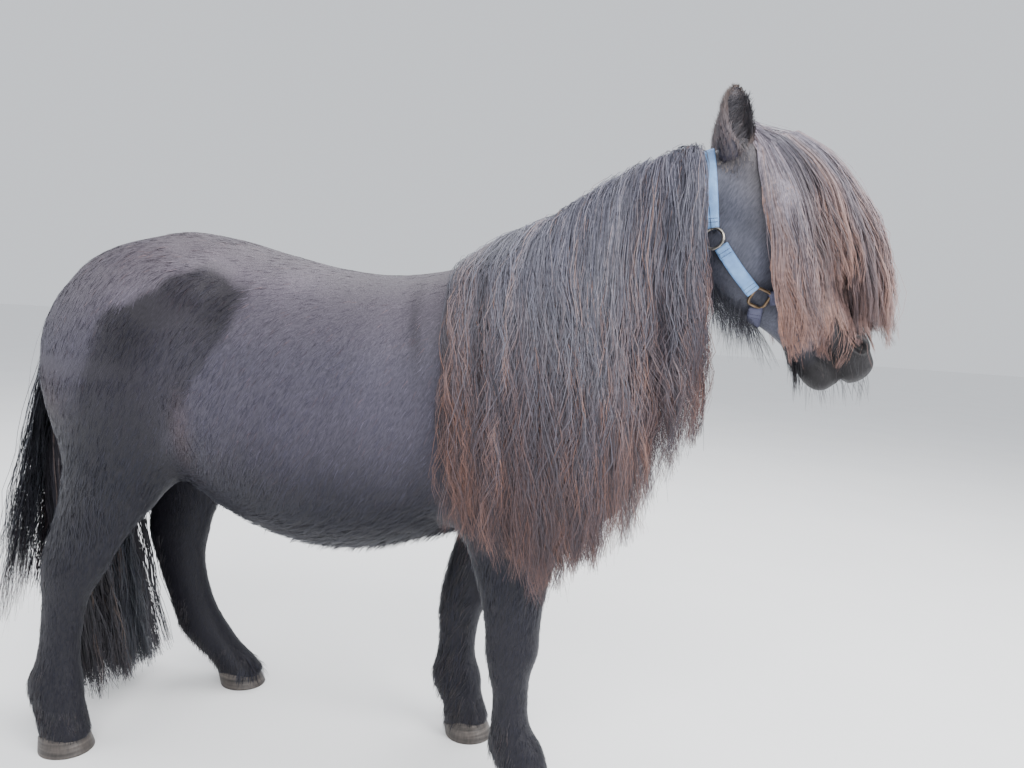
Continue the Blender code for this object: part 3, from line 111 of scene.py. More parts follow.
NECK = (
    (-0.060, 0.150, -0.170, 0.150, 0, 0.45, 2.0),
    (0.050, 0.172, -0.158, 0.145, 0, 0.45, 2.0),
    (0.120, 0.174, -0.135, 0.118, 0, 0.42, 1.9),
    (0.200, 0.156, -0.106, 0.094, 0, 0.42, 1.9),
    (0.280, 0.136, -0.080, 0.080, 0, 0.42, 1.9),
    (0.360, 0.112, -0.066, 0.072, 0, 0.45, 1.9),
    (0.430, 0.078, -0.066, 0.066, 0, 0.50, 2.0),   # throat latch
    (0.475, 0.040, -0.056, 0.056, 0, 0.50, 2.0),   # poll
)
SKULL = (
    (0.005, 0.018, -0.060, 0.050, 0, 0.60, 2.0),   # poll
    (0.050, 0.046, -0.085, 0.066, 0, 0.62, 2.1),
    (0.090, 0.059, -0.100, 0.076, 0, 0.64, 2.2),   # forehead
    (0.130, 0.060, -0.098, 0.077, 0, 0.64, 2.3),   # eyes
    (0.180, 0.053, -0.088, 0.064, 0, 0.60, 2.3),
    (0.235, 0.046, -0.074, 0.053, 0, 0.55, 2.3),
    (0.290, 0.042, -0.064, 0.045, 0, 0.50, 2.2),   # nose
    (0.340, 0.043, -0.052, 0.043, 0, 0.50, 2.1),
    (0.380, 0.047, -0.036, 0.045, 0, 0.50, 2.1),   # nostrils
    (0.412, 0.038, -0.020, 0.038, 0, 0.50, 2.1),   # upper lip
)
JAW = (
    (0.100, -0.030, -0.108, 0.046, 0, 0.5, 2.2),
    (0.150, -0.030, -0.140, 0.054, 0, 0.5, 2.3),   # cheek
    (0.205, -0.030, -0.138, 0.052, 0, 0.5, 2.3),
    (0.255, -0.030, -0.112, 0.042, 0, 0.5, 2.2),
    (0.310, -0.030, -0.084, 0.034, 0, 0.5, 2.1),
    (0.355, -0.028, -0.072, 0.032, 0, 0.5, 2.1),
    (0.392, -0.024, -0.070, 0.032, 0, 0.5, 2.1),   # chin
    (0.410, -0.022, -0.058, 0.028, 0, 0.5, 2.1),   # lower lip
)
FORE_RIGHT = (
    (0.040, 0.488, 0.400, 0.041, -0.100, 0.5, 2.0),
    (0.062, 0.482, 0.396, 0.040, -0.100, 0.5, 2.0),   # coronet
    (0.088, 0.476, 0.384, 0.037, -0.101, 0.5, 2.0),   # pastern
    (0.122, 0.466, 0.366, 0.040, -0.103, 0.5, 2.0),   # fetlock
    (0.165, 0.440, 0.367, 0.033, -0.105, 0.5, 2.1),
    (0.220, 0.432, 0.366, 0.032, -0.107, 0.5, 2.1),   # cannon
    (0.260, 0.434, 0.358, 0.037, -0.109, 0.5, 2.2),
    (0.300, 0.444, 0.350, 0.043, -0.110, 0.5, 2.3),   # knee
    (0.340, 0.445, 0.346, 0.042, -0.111, 0.5, 2.2),
    (0.390, 0.448, 0.336, 0.046, -0.113, 0.5, 2.0),   # forearm
    (0.450, 0.460, 0.318, 0.056, -0.115, 0.5, 2.0),
    (0.510, 0.478, 0.300, 0.062, -0.116, 0.5, 2.0),   # elbow
    (0.580, 0.495, 0.300, 0.060, -0.112, 0.5, 2.0),
)
FORE_LEFT = (
    (0.040, 0.318, 0.222, 0.041, 0.130, 0.5, 2.0),
    (0.062, 0.310, 0.220, 0.039, 0.130, 0.5, 2.0),
    (0.088, 0.302, 0.206, 0.037, 0.130, 0.5, 2.0),
    (0.122, 0.298, 0.192, 0.040, 0.130, 0.5, 2.0),
    (0.165, 0.284, 0.200, 0.034, 0.129, 0.5, 2.1),
    (0.220, 0.284, 0.202, 0.033, 0.127, 0.5, 2.1),
    (0.260, 0.292, 0.200, 0.038, 0.125, 0.5, 2.2),
    (0.300, 0.308, 0.204, 0.043, 0.122, 0.5, 2.3),
    (0.340, 0.322, 0.210, 0.043, 0.120, 0.5, 2.2),
    (0.390, 0.346, 0.222, 0.047, 0.118, 0.5, 2.0),
    (0.450, 0.384, 0.238, 0.057, 0.117, 0.5, 2.0),
    (0.510, 0.428, 0.258, 0.062, 0.116, 0.5, 2.0),
    (0.580, 0.470, 0.278, 0.060, 0.112, 0.5, 2.0),
)
HIND_RIGHT = (
    (0.035, -0.394, -0.492, 0.041, -0.150, 0.5, 2.0),
    (0.058, -0.400, -0.498, 0.040, -0.150, 0.5, 2.0),
    (0.085, -0.405, -0.510, 0.037, -0.150, 0.5, 2.0),
    (0.120, -0.412, -0.518, 0.041, -0.149, 0.5, 2.0),
    (0.170, -0.420, -0.503, 0.034, -0.148, 0.5, 2.1),
    (0.230, -0.418, -0.494, 0.034, -0.147, 0.5, 2.1),
    (0.290, -0.405, -0.492, 0.038, -0.146, 0.5, 2.1),
    (0.340, -0.375, -0.495, 0.043, -0.145, 0.5, 2.2),   # hock
    (0.390, -0.345, -0.492, 0.040, -0.144, 0.5, 2.0),
    (0.430, -0.318, -0.478, 0.046, -0.142, 0.5, 2.0),
    (0.490, -0.270, -0.462, 0.060, -0.138, 0.5, 2.0),   # gaskin
    (0.550, -0.225, -0.458, 0.078, -0.132, 0.5, 2.0),
    (0.620, -0.190, -0.470, 0.090, -0.124, 0.5, 2.0),   # stifle
    (0.700, -0.195, -0.488, 0.095, -0.118, 0.5, 2.0),
)
HIND_LEFT = (
    (0.035, -0.222, -0.332, 0.041, 0.176, 0.5, 2.0),
    (0.056, -0.244, -0.354, 0.039, 0.176, 0.5, 2.0),
    (0.080, -0.272, -0.388, 0.037, 0.175, 0.5, 2.0),
    (0.115, -0.304, -0.422, 0.041, 0.173, 0.5, 2.0),
    (0.165, -0.334, -0.442, 0.034, 0.168, 0.5, 2.1),
    (0.225, -0.354, -0.464, 0.034, 0.162, 0.5, 2.1),
    (0.290, -0.361, -0.482, 0.038, 0.156, 0.5, 2.1),
    (0.340, -0.351, -0.491, 0.043, 0.150, 0.5, 2.2),
    (0.390, -0.335, -0.489, 0.040, 0.146, 0.5, 2.0),
    (0.430, -0.315, -0.476, 0.046, 0.142, 0.5, 2.0),
    (0.490, -0.275, -0.460, 0.060, 0.137, 0.5, 2.0),
    (0.550, -0.230, -0.456, 0.078, 0.131, 0.5, 2.0),
    (0.620, -0.190, -0.470, 0.090, 0.124, 0.5, 2.0),
    (0.700, -0.195, -0.488, 0.095, 0.118, 0.5, 2.0),
)
DOCK = (
    (0.430, -0.588, -0.612, 0.030, 0.030, 0.5, 2.0),
    (0.520, -0.578, -0.604, 0.026, 0.018, 0.5, 2.0),
    (0.610, -0.562, -0.590, 0.020, 0.006, 0.5, 2.0),
    (0.660, -0.554, -0.586, 0.020, 0, 0.5, 2.0),
    (0.730, -0.540, -0.580, 0.022, 0, 0.5, 2.0),
    (0.800, -0.520, -0.571, 0.025, 0, 0.5, 2.0),
    (0.855, -0.484, -0.549, 0.029, 0, 0.5, 2.0),
    (0.890, -0.450, -0.506, 0.030, 0, 0.5, 2.0),
)
LEGS = {
    "foreleg_right": FORE_RIGHT,
    "foreleg_left": FORE_LEFT,
    "hindleg_right": HIND_RIGHT,
    "hindleg_left": HIND_LEFT,
}
# hooves: place of the sole's middle, length, width and how far the wall leans back
HOOVES = {
    "foreleg_right": (0.447, -0.098, 0.102, 0.096, 0.014),
    "foreleg_left": (0.276, 0.130, 0.102, 0.096, 0.014),
    "hindleg_right": (-0.440, -0.150, 0.102, 0.092, 0.012),
    "hindleg_left": (-0.268, 0.176, 0.102, 0.092, 0.018),
}
EAR_ROOT = (0.020, -0.020, 0.052)   # along the head, up, to the side
EAR_TIP = (-0.078, 0.030, 0.062)
EAR_BOW = 0.004
# share of the way up, half width, depth, wall, half the turn of the wall in degrees
EAR_RINGS = (
    (0.00, 0.024, 0.018, 0.0060, 172),
    (0.16, 0.029, 0.022, 0.0055, 150),
    (0.34, 0.032, 0.024, 0.0050, 122),
    (0.52, 0.031, 0.022, 0.0045, 108),
    (0.70, 0.027, 0.018, 0.0040, 100),
    (0.86, 0.020, 0.012, 0.0034, 96),
    (1.00, 0.007, 0.004, 0.0020, 92),
)
STRAP_WIDTH = 0.024
STRAP_THICK = 0.0038
STRAP_FOLD = 0.016
RING_HEIGHT = 0.0066
HIGH_RING = (0.121, -0.106, 0.075)
LOW_RING = (0.245, -0.082, 0.060)
CHEEK_STRAP = (
    (0.137, -0.101, 0.075),
    (0.164, -0.106, 0.078),
    (0.205, -0.096, 0.075),
    (0.232, -0.086, 0.065),
)
CROWN_STRAP = (
    (0.106, -0.101, -0.078),
    (0.064, -0.088, -0.080),
    (0.025, -0.075, -0.078),
    (-0.013, -0.062, -0.070),
    (-0.035, -0.040, -0.045),
    (-0.045, -0.020, 0.0),
)
THROAT_STRAP = (
    (0.127, -0.121, -0.075),
    (0.147, -0.144, -0.062),
    (0.172, -0.160, -0.035),
    (0.180, -0.170, 0.0),
)
NOSE_STRAP = (
    (0.252, -0.068, -0.056),
    (0.258, -0.040, -0.056),
    (0.263, 0.005, -0.054),
    (0.272, 0.040, -0.035),
    (0.276, 0.052, 0.0),
)
CHIN_STRAP = (
    (0.255, -0.094, -0.052),
    (0.277, -0.105, -0.040),
    (0.290, -0.115, -0.020),
    (0.294, -0.118, 0.0),
)
# hair: the place along the body and the height at which the mane ends
MANE_ENDS = (
    (0.27, 0.54),
    (0.33, 0.512),
    (0.41, 0.48),
    (0.45, 0.44),
    (0.48, 0.47),
    (0.54, 0.51),
    (0.59, 0.55),
    (0.62, 0.62),
    (0.648, 0.70),
)
MANE_ENDS_LEFT = ((0.27, 0.80), (0.36, 0.76), (0.47, 0.72), (0.56, 0.72), (0.645, 0.80))
MANE_DRIFT = ((0.32, 0.12), (0.42, 0.03), (0.52, 0.01), (0.62, 0.05))
FORELOCK_START = 0.010
FORELOCK_ENDS = ((0, 0.395), (36, 0.385), (45, 0.235), (63, 0.225), (71, 0.345), (90, 0.355))
# along the head, upper and lower edge of the forelock, its half width
FORELOCK = np.array(
    (
        (0.000, 0.062, 0.030, 0.032),
        (0.025, 0.098, 0.022, 0.062),
        (0.077, 0.126, 0.003, 0.083),
        (0.131, 0.140, -0.017, 0.091),
        (0.178, 0.144, -0.036, 0.093),
        (0.246, 0.142, -0.064, 0.090),
        (0.311, 0.124, -0.090, 0.084),
        (0.389, 0.092, -0.110, 0.074),
    )
)

# Muscles and features: centre (along, up, to the side), radii the same way, tilt in degrees, blend
BODY_LUMPS = (
    ((-0.345, 0.745, 0.118), (0.165, 0.20, 0.098), -12, 0.05),    # haunch
    ((-0.440, 0.715, 0.090), (0.070, 0.17, 0.075), 8, 0.04),      # buttock
    ((-0.205, 0.880, 0.158), (0.052, 0.032, 0.036), 0, 0.05),     # point of hip
    ((0.405, 0.700, 0.105), (0.105, 0.22, 0.082), 22, 0.05),      # shoulder
    ((0.505, 0.680, 0.075), (0.062, 0.085, 0.068), 0, 0.04),      # point of shoulder
    ((0.340, 0.600, 0.135), (0.085, 0.100, 0.055), 20, 0.05),     # upper arm
    ((0.500, 0.600, 0.0), (0.075, 0.090, 0.085), 0, 0.05),        # breast
)
HEAD_LUMPS = (
    ((0.162, -0.080, 0.040), (0.066, 0.056, 0.030), -8, 0.020),   # cheek
    ((0.118, 0.016, 0.064), (0.036, 0.026, 0.020), 0, 0.018),     # brow
    ((0.205, -0.018, 0.050), (0.060, 0.010, 0.010), -4, 0.020),   # crest
    ((0.378, 0.018, 0.032), (0.026, 0.024, 0.018), 0, 0.012),     # nostril wing
    ((0.030, 0.000, 0.045), (0.034, 0.030, 0.024), 0, 0.020),     # ear root
    (EYE, (0.027, 0.022, 0.0225), 0, 0.010),                      # lids
    ((0.408, 0.006, 0.0), (0.028, 0.032, 0.036), 0, 0.015),       # upper lip
    ((0.396, -0.046, 0.0), (0.030, 0.026, 0.030), 0, 0.012),      # chin
)
HEAD_HOLLOWS = (
    (LID_OPENING, (0.0165, 0.0095, 0.012), 8, 0.002),
    ((0.380, 0.024, 0.050), (0.017, 0.009, 0.014), 25, 0.006),    # nostrils
    ((0.397, -0.021, 0.046), (0.048, 0.0055, 0.013), 6, 0.004),   # corners of the mouth
    ((0.432, -0.018, 0.0), (0.014, 0.0055, 0.034), 6, 0.004),     # front of the mouth
)
EAR_LUMPS = (
    (((EAR_ROOT[0] + EAR_TIP[0]) / 2, (EAR_ROOT[1] + EAR_TIP[1]) / 2, 0.057), (0.060, 0.034, 0.028), 153, 0.01),
)


def swept(stations, frame, cap=0.04, blend=0.03):
    """One form swept along a straight axis through its stations, with round ends of length cap."""
    form = {"kind": "swept", "rows": np.array(stations, float), "frame": frame, "cap": cap, "blend": blend}
    form["box"] = form_box(form)
    return form


def lump(centre, radii, tilt, blend, frame):
    """An ellipsoid. In a frame, its centre and radii are along the axis, up and to the side."""
    x, up, side = centre
    turn = math.radians(tilt)
    middle, axis = (x, up), (math.cos(turn), math.sin(turn))
    if frame:
        (ox, oz), (ax, az), (ux, uz) = frame
        middle = (ox + x * ax + up * ux, oz + x * az + up * uz)
        axis = (axis[0] * ax + axis[1] * ux, axis[0] * az + axis[1] * uz)
    form = {"kind": "lump", "middle": middle, "side": side, "axis": axis, "radii": radii, "blend": blend}
    form["box"] = form_box(form)
    return form


def lumps_of(rows, frame=None):
    """The rows' ellipsoids, each on the left and on the right unless it lies in the middle."""
    return [
        lump((along, up, each), radii, tilt, blend, frame)
        for (along, up, side), radii, tilt, blend in rows
        for each in ((side, -side) if side else (side,))
    ]


def smooth_columns(rows, places):
    """A smooth curve through the rows' columns, read at places on their first one."""
    at = rows[:, 0]
    values = rows[:, 1:]
    slopes = np.gradient(values, at, axis=0)
    index = np.clip(np.searchsorted(at, places) - 1, 0, len(at) - 2)
    span = at[index + 1] - at[index]
    t = ((places - at[index]) / span)[:, None]
    span = span[:, None]
    a, b = values[index], values[index + 1]
    sa, sb = slopes[index] * span, slopes[index + 1] * span
    return (
        a * (1 + 2 * t) * (1 - t) ** 2
        + sa * t * (1 - t) ** 2
        + b * t * t * (3 - 2 * t)
        + sb * t * t * (t - 1)
    ).T


def rounded(parts, radii, power):
    """Distance, near enough, to where the sum of |part / radius| ** power is one."""
    ratio = [np.abs(p / r) + 1e-9 for p, r in zip(parts, radii)]
    size = sum(q**power for q in ratio) ** (1 / power)
    steep = sum((q ** (power - 1) / r) ** 2 for q, r in zip(ratio, radii)) ** 0.5 * size ** (1 - power)
    return (size - 1) / steep


def form_distance(form, p):
    """Signed distance of each place p from one form, near its surface."""
    if form["kind"] == "lump":
        (mx, mz), (ax, az) = form["middle"], form["axis"]
        dx, dz = p[:, 0] - mx, p[:, 2] - mz
        parts = (dx * ax + dz * az, dz * ax - dx * az, p[:, 1] - form["side"])
        return rounded(parts, form["radii"], 2.0)
    (ox, oz), (ax, az), (ux, uz) = form["frame"]
    dx, dz = p[:, 0] - ox, p[:, 2] - oz
    along, up = dx * ax + dz * az, dx * ux + dz * uz
    rows = form["rows"]
    inside = np.clip(along, rows[0, 0], rows[-1, 0])
    top, bottom, half, side, level, power = smooth_columns(rows, inside)
    middle = bottom + level * (top - bottom)
    reach = np.where(up > middle, top - middle, middle - bottom)
    parts = (up - middle, p[:, 1] - side, along - inside)
    return rounded(parts, (reach, half, form["cap"]), power)


def form_box(form):
    """The form's lowest and highest corner, with room for its blend."""
    room = form["blend"] + REACH
    if form["kind"] == "lump":
        (mx, mz), (ax, az) = form["middle"], form["axis"]
        ra, ru, rs = form["radii"]
        rx = math.hypot(ra * ax, ru * az) + room
        rz = math.hypot(ra * az, ru * ax) + room
        rs += room
        middle, reach = np.array((mx, form["side"], mz)), np.array((rx, rs, rz))
        return middle - reach, middle + reach
    (ox, oz), (ax, az), (ux, uz) = form["frame"]
    corners = []
    for along, top, bottom, half, side, *_ in form["rows"]:
        for up in (top, bottom):
            x, z = ox + along * ax + up * ux, oz + along * az + up * uz
            corners += [(x, side - half, z), (x, side + half, z)]
    corners = np.array(corners)
    room += form["cap"]
    return corners.min(0) - room, corners.max(0) + room


def smooth_least(a, b, k):
    """The smaller of a and b, rounded where they are within k of each other."""
    h = np.clip(0.5 + 0.5 * (b - a) / k, 0, 1)
    return b * (1 - h) + a * h - k * h * (1 - h)


def body_distance(p, forms, hollows=()):
    """Signed distance, near enough, from points p to the blended forms, less the hollows."""
    found = np.full(len(p), FAR_AWAY)
    for sign, group in ((1, forms), (-1, hollows)):
        for form in group:
            low, high = form["box"]
            near = np.flatnonzero(np.all((p > low) & (p < high), axis=1))
            if len(near):
                inner = smooth_least(sign * found[near], form_distance(form, p[near]), form["blend"])
                found[near] = sign * inner
    return found


def surface_of(distance, low, high, step):
    """Points and quads of the closed surface where distance is zero, on a grid of cubes step wide."""
    counts = np.ceil((np.array(high) - np.array(low)) / step).astype(int) + 1
    axes = [low[i] + step * np.arange(counts[i]) for i in range(3)]
    values = np.full(counts, FAR_AWAY)
    for k in range(1, counts[0] - 1):
        flat = np.stack(np.meshgrid([axes[0][k]], axes[1], axes[2], indexing="ij"), -1).reshape(-1, 3)
        values[k] = distance(flat).reshape(counts[1], counts[2])
    for edge in (0, -1):
        values[:, edge, :] = np.maximum(values[:, edge, :], step)
        values[:, :, edge] = np.maximum(values[:, :, edge], step)
    inside = values < 0
    total = np.zeros((counts.prod(), 3))
    number = np.zeros(counts.prod())
    strides = np.array((counts[1] * counts[2], counts[2], 1))
    quads = []
    for axis in range(3):
        first = tuple(slice(0, -1) if i == axis else slice(None) for i in range(3))
        second = tuple(slice(1, None) if i == axis else slice(None) for i in range(3))
        crossing = np.argwhere(inside[first] != inside[second])
        a = values[first][tuple(crossing.T)]
        b = values[second][tuple(crossing.T)]
        place = crossing.astype(float)
        place[:, axis] += a / (a - b)
        others = [i for i in range(3) if i != axis]
        corners = []
        for du, dv in ((0, 0), (1, 0), (1, 1), (0, 1)):
            cell = crossing.copy()
            cell[:, others[0]] -= du
            cell[:, others[1]] -= dv
            code = cell @ strides
            corners.append(code)
            number += np.bincount(code, minlength=len(number))
            for i in range(3):
                total[:, i] += np.bincount(code, weights=place[:, i], minlength=len(number))
        loops = np.stack(corners, 1)
        outward = (a < 0) != (axis != 1)
        loops[outward] = loops[outward][:, ::-1]
        quads.append(loops)
    quads = np.concatenate(quads)
    used, index = np.unique(quads, return_inverse=True)
    points = total[used] / number[used][:, None] * step + np.array(low)
    return points, index.reshape(-1, 4)


def slope_of(distance, p, h=0.0008):
    """The field's gradient at p."""
    steps = np.eye(3) * h
    return np.stack([distance(p + s) - distance(p - s) for s in steps], 1) / (2 * h)


def settle(distance, points, rounds=2):
    """Moves points onto the surface where distance is zero."""
    for _ in range(rounds):
        slope = slope_of(distance, points)
        square = np.maximum((slope**2).sum(1), 0.05)
        points = points - slope * (distance(points) / square)[:, None]
    return points


def unit(v):
    return v / np.maximum(np.linalg.norm(v, axis=-1, keepdims=True), 1e-9)


def head_point(along, up, side):
    """The place that lies so far along the head, up from its axis and to the side."""
    (ox, oz), (ax, az), (ux, uz) = HEAD_FRAME
    return (ox + along * ax + up * ux, side, oz + along * az + up * uz)


def head_places(p):
    """Each place's distance along the head and up from its axis."""
    (ox, oz), (ax, az), (ux, uz) = HEAD_FRAME
    dx, dz = p[:, 0] - ox, p[:, 2] - oz
    return dx * ax + dz * az, dx * ux + dz * uz


def ramp(value, start, width):
    """0 up to start, 1 past start + width and straight between."""
    return np.clip((value - start) / width, 0, 1)


def eased(value):
    """0 below 0, 1 above 1 and a soft step between."""
    value = np.clip(value, 0, 1)
    return value * value * (3 - 2 * value)


def bell(a, b=0.0):
    """1 where a and b are 0, and soon less round it."""
    return np.exp(-(a**2) - b**2)


def toward(base, share, other):
    """Each row of base turned into other by its share."""
    share = share[:, None]
    return base * (1 - share) + share * np.asarray(other)


# The field's own frame is moved so that the eyes meet those of the solids
low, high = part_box("eye_right")
SHIFT = (np.array(low) + np.array(high)) / 2 - np.array(head_point(EYE[0], EYE[1], -EYE[2]))


def hoof_form(hoof):
    x, y, length, width, lean = hoof
    rows = (
        (0.000, x + length / 2, x - length / 2, width / 2, y, 0.5, 2.0),
        (0.055, x - lean + length * 0.42, x - lean - length * 0.40, width * 0.42, y, 0.5, 2.0),
    )
    return swept(rows, LEG_FRAME, cap=0.004, blend=0.005)


BODY = [swept(TRUNK, TRUNK_FRAME, cap=0.035), swept(NECK, NECK_FRAME, cap=0.03, blend=0.05)]
BODY += lumps_of(BODY_LUMPS) + [swept(leg, LEG_FRAME, blend=0.04) for leg in LEGS.values()]
HEAD = [swept(SKULL, HEAD_FRAME, cap=0.018, blend=0.02), swept(JAW, HEAD_FRAME, cap=0.014, blend=0.02)]
HEAD += lumps_of(HEAD_LUMPS, HEAD_FRAME)
HOLLOWS = lumps_of(HEAD_HOLLOWS, HEAD_FRAME)
HOOF_FORMS = [hoof_form(hoof) for hoof in HOOVES.values()]
EYE_FORMS = lumps_of(((EYE, (EYE_RADIUS,) * 3, 0, 0.002),), HEAD_FRAME)
EAR_FORMS = lumps_of(EAR_LUMPS, HEAD_FRAME)


def whole(p):
    """Distance from the body without hooves, eyes and ears."""
    return body_distance(p, BODY + HEAD, HOLLOWS)


def skin_level(p):
    """The skin lies inside the solids by the coat's depth, less on the muzzle and round the eyes."""
    bare = ramp(head_places(p)[0], 0.05, 0.1) * (p[:, 0] > 0.66) * (p[:, 2] > 0.7)
    return whole(p) + COAT_DEPTH * (1 - 0.75 * bare)


def clear_of_all(p):
    return np.minimum(whole(p), body_distance(p, HOOF_FORMS))


def clear_of_head(p):
    return np.minimum(whole(p), body_distance(p, EYE_FORMS + EAR_FORMS))


def grid_of(distance, low, high, step):
    """The distance at each place of a grid from low to just past high."""
    counts = np.ceil((high - low) / step).astype(int) + 2
    axes = [low[i] + step * np.arange(counts[i]) for i in range(3)]
    places = np.stack(np.meshgrid(*axes, indexing="ij"), -1).reshape(-1, 3)
    return distance(places).reshape(counts)


def read_between(values, place, cell):
    """The grid's values at place, counted in its steps, from the eight corners of the cell."""
    part = place - cell
    found = np.zeros(len(place))
    for corner in np.ndindex(2, 2, 2):
        weight = np.prod(np.where(corner, part, 1 - part), axis=1)
        index = cell + corner
        found += weight * values[index[:, 0], index[:, 1], index[:, 2]]
    return found


def banded(distance, low, high, step):
    """A field that is only worked out near its surface: a grid four times as coarse says where."""
    low, wide = np.array(low), step * 4
    coarse = grid_of(distance, low, np.array(high), wide)

    def field(p):
        place = (p - low) / wide
        value = read_between(coarse, place, np.clip(place.astype(int), 0, np.array(coarse.shape) - 2))
        near = np.flatnonzero(np.abs(value) < wide * 1.5)
        if len(near):
            value[near] = distance(p[near])
        return value

    return field


def sampled(distance, low, high, step):
    """The field read from a grid, quick enough to comb thousands of hairs over it."""
    low = np.array(low)
    values = np.minimum(grid_of(distance, low, np.array(high), step), 0.25)

    def field(p):
        place = np.clip((p - low) / step, 0, np.array(values.shape) - 1.001)
        return read_between(values, place, place.astype(int))

    return field


def linked_object(name, mesh):
    piece = bpy.data.objects.new(name, mesh)
    bpy.context.scene.collection.objects.link(piece)
    return piece


def object_of(name, points, faces):
    """A smooth piece of many faces, all with as many corners."""
    faces = np.asarray(faces, np.int32)
    mesh = bpy.data.meshes.new(name)
    mesh.vertices.add(len(points))
    mesh.vertices.foreach_set("co", (np.asarray(points, np.float32) + SHIFT.astype(np.float32)).ravel())
    mesh.loops.add(faces.size)
    mesh.loops.foreach_set("vertex_index", faces.ravel())
    mesh.polygons.add(len(faces))
    mesh.polygons.foreach_set("loop_start", np.arange(0, faces.size, faces.shape[1], dtype=np.int32))
    mesh.polygons.foreach_set("use_smooth", np.full(len(faces), True))
    mesh.update(calc_edges=True)
    return linked_object(name, mesh)


def capped_object(name, points, faces, caps=()):
    """A smooth piece of faces of any size, with flat caps."""
    mesh = bpy.data.meshes.new(name)
    mesh.from_pydata((points + SHIFT).tolist(), [], [*faces, *caps])
    mesh.polygons.foreach_set("use_smooth", [True] * len(faces) + [False] * len(caps))
    return linked_object(name, mesh)


def ring_faces(rows, around, closed=False, first=0):
    """Quads between rows of points that each go all round; closed joins the last row to the first."""
    faces = []
    for k in range(rows if closed else rows - 1):
        low, high = first + k * around, first + (k + 1) % rows * around
        for j in range(around):
            after = (j + 1) % around
            faces.append((low + j, low + after, high + after, high + j))
    return faces


def turned_over(faces):
    return [(a, d, c, b) for a, b, c, d in faces]


def add_number(piece, name, values):
    layer = piece.data.attributes.new(name, "FLOAT", "POINT")
    layer.data.foreach_set("value", np.asarray(values, np.float32).ravel())


def add_colour(piece, name, colours):
    layer = piece.data.attributes.new(name, "FLOAT_COLOR", "POINT")
    full = np.ones((len(colours), 4), np.float32)
    full[:, :3] = colours
    layer.data.foreach_set("color", full.ravel())


def add_uv(piece, uv_of_points):
    layer = piece.data.uv_layers.new(name="OFBake")
    index = np.empty(len(piece.data.loops), np.int32)
    piece.data.loops.foreach_get("vertex_index", index)
    layer.data.foreach_set("uv", np.asarray(uv_of_points, np.float32)[index].ravel())


def shade_as(piece, normals):
    """Light falls on the piece as if its corners faced along normals, so fine hair reads as one soft coat."""
    piece.data.normals_split_custom_set_from_vertices(unit(normals).tolist())


def finish_piece(piece, material, slot, *nodes):
    """Gives the piece its material and body, in place of the nodes, if any; slot is not used."""
    piece.data.materials.append(material)
    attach(piece, "root")
    if nodes:
        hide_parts(*nodes)


def leg_axis(rows, z):
    """The middle of a leg at the height z: its place along the body and to the side."""
    rows = np.array(rows)
    return np.interp(z, rows[:, 0], rows[:, 1:3].mean(1)), np.interp(z, rows[:, 0], rows[:, 4])


def unwrap(p):
    """Each place on the body on one flat sheet: bands round the trunk and head, and one for each leg."""
    p = np.asarray(p, float)
    level = 0.70 + np.maximum(p[:, 0] - 0.36, 0) * 1.2
    level = np.where(p[:, 0] > 0.62, 1.02 - (p[:, 0] - 0.62) * 0.6, level)
    turn = np.arctan2(p[:, 1], p[:, 2] - level) / (2 * math.pi) + 0.5
    sheet = np.column_stack([ramp(p[:, 0], -0.70, 1.80), 0.02 + 0.46 * turn])
    for band, (leg, rows) in enumerate(LEGS.items()):
        side = 1 if leg.endswith("left") else -1
        mine = (p[:, 2] < 0.46) & (p[:, 1] * side > 0) & ((p[:, 0] > 0.0) == leg.startswith("fore"))
        middle, across = leg_axis(rows, p[mine, 2])
        turn = np.arctan2(p[mine, 1] - across, p[mine, 0] - middle) / (2 * math.pi) + 0.5
        sheet[mine] = np.column_stack([band * 0.25 + 0.01 + 0.23 * turn, 0.50 + p[mine, 2]])
    return sheet


def skin_part(step, box, grid, side, cut, edge):
    """The skin to one side of the seam: its surface as far as the cut, less the faces past the edge."""
    field = banded(skin_level, *box, step)
    points, quads = surface_of(lambda p: np.maximum(field(p), side * (p[:, 0] - cut)), *grid, step)
    quads = quads[np.all(side * points[quads][:, :, 0] < side * edge, axis=1)]
    return settle(skin_level, points), quads


def skin_surface():
    """The whole body in one surface, finer on the head, open above the hooves' soles."""
    seam = HEAD_SEAM + 0.004
    box = ((-0.60, -0.32, -0.06), (0.72, 0.32, 1.28))
    grid = ((-0.57, -0.30, -0.04), (0.68, 0.30, 1.26))
    body, quads = skin_part(0.0076, box, grid, 1, seam, seam - 0.001)
    box = ((0.60, -0.14, 0.70), (1.00, 0.14, 1.28))
    grid = ((0.61, -0.13, 0.72), (0.98, 0.13, 1.26))
    face, more = skin_part(0.0028, box, grid, -1, seam - 0.008, seam - 0.006)
    points = np.concatenate([body, face])
    quads = np.concatenate([quads, more + len(body)])
    above = np.all(points[quads][:, :, 2] > 0.012, axis=1)
    used, quads = np.unique(quads[above], return_inverse=True)
    return points[used], quads.reshape(-1, 4)


def point_normals(points, quads):
    a, b, c, d = (points[quads[:, k]] for k in range(4))
    facing = np.cross(c - a, d - b)
    normal = np.zeros_like(points)
    for k in range(4):
        np.add.at(normal, quads[:, k], facing)
    return unit(normal)


def middles(points, quads):
    return (points[quads[:, 0]] + points[quads[:, 2]]) / 2


def scattered(points, quads, normals, count, weight):
    """Random places on the surface with their normals, denser on the quads whose weight is larger."""
    a, b, c, d = (points[quads[:, k]] for k in range(4))
    area = np.linalg.norm(np.cross(c - a, d - b), axis=1) * weight
    pick = rng.choice(len(quads), size=count, p=area / area.sum())
    s, t = rng.random((2, count, 1))

    def between(values):
        a, b, c, d = (values[quads[pick, k]] for k in range(4))
        return (1 - s) * (1 - t) * a + s * (1 - t) * b + (s * t * c + (1 - s) * t * d)

    return between(points), unit(between(normals))


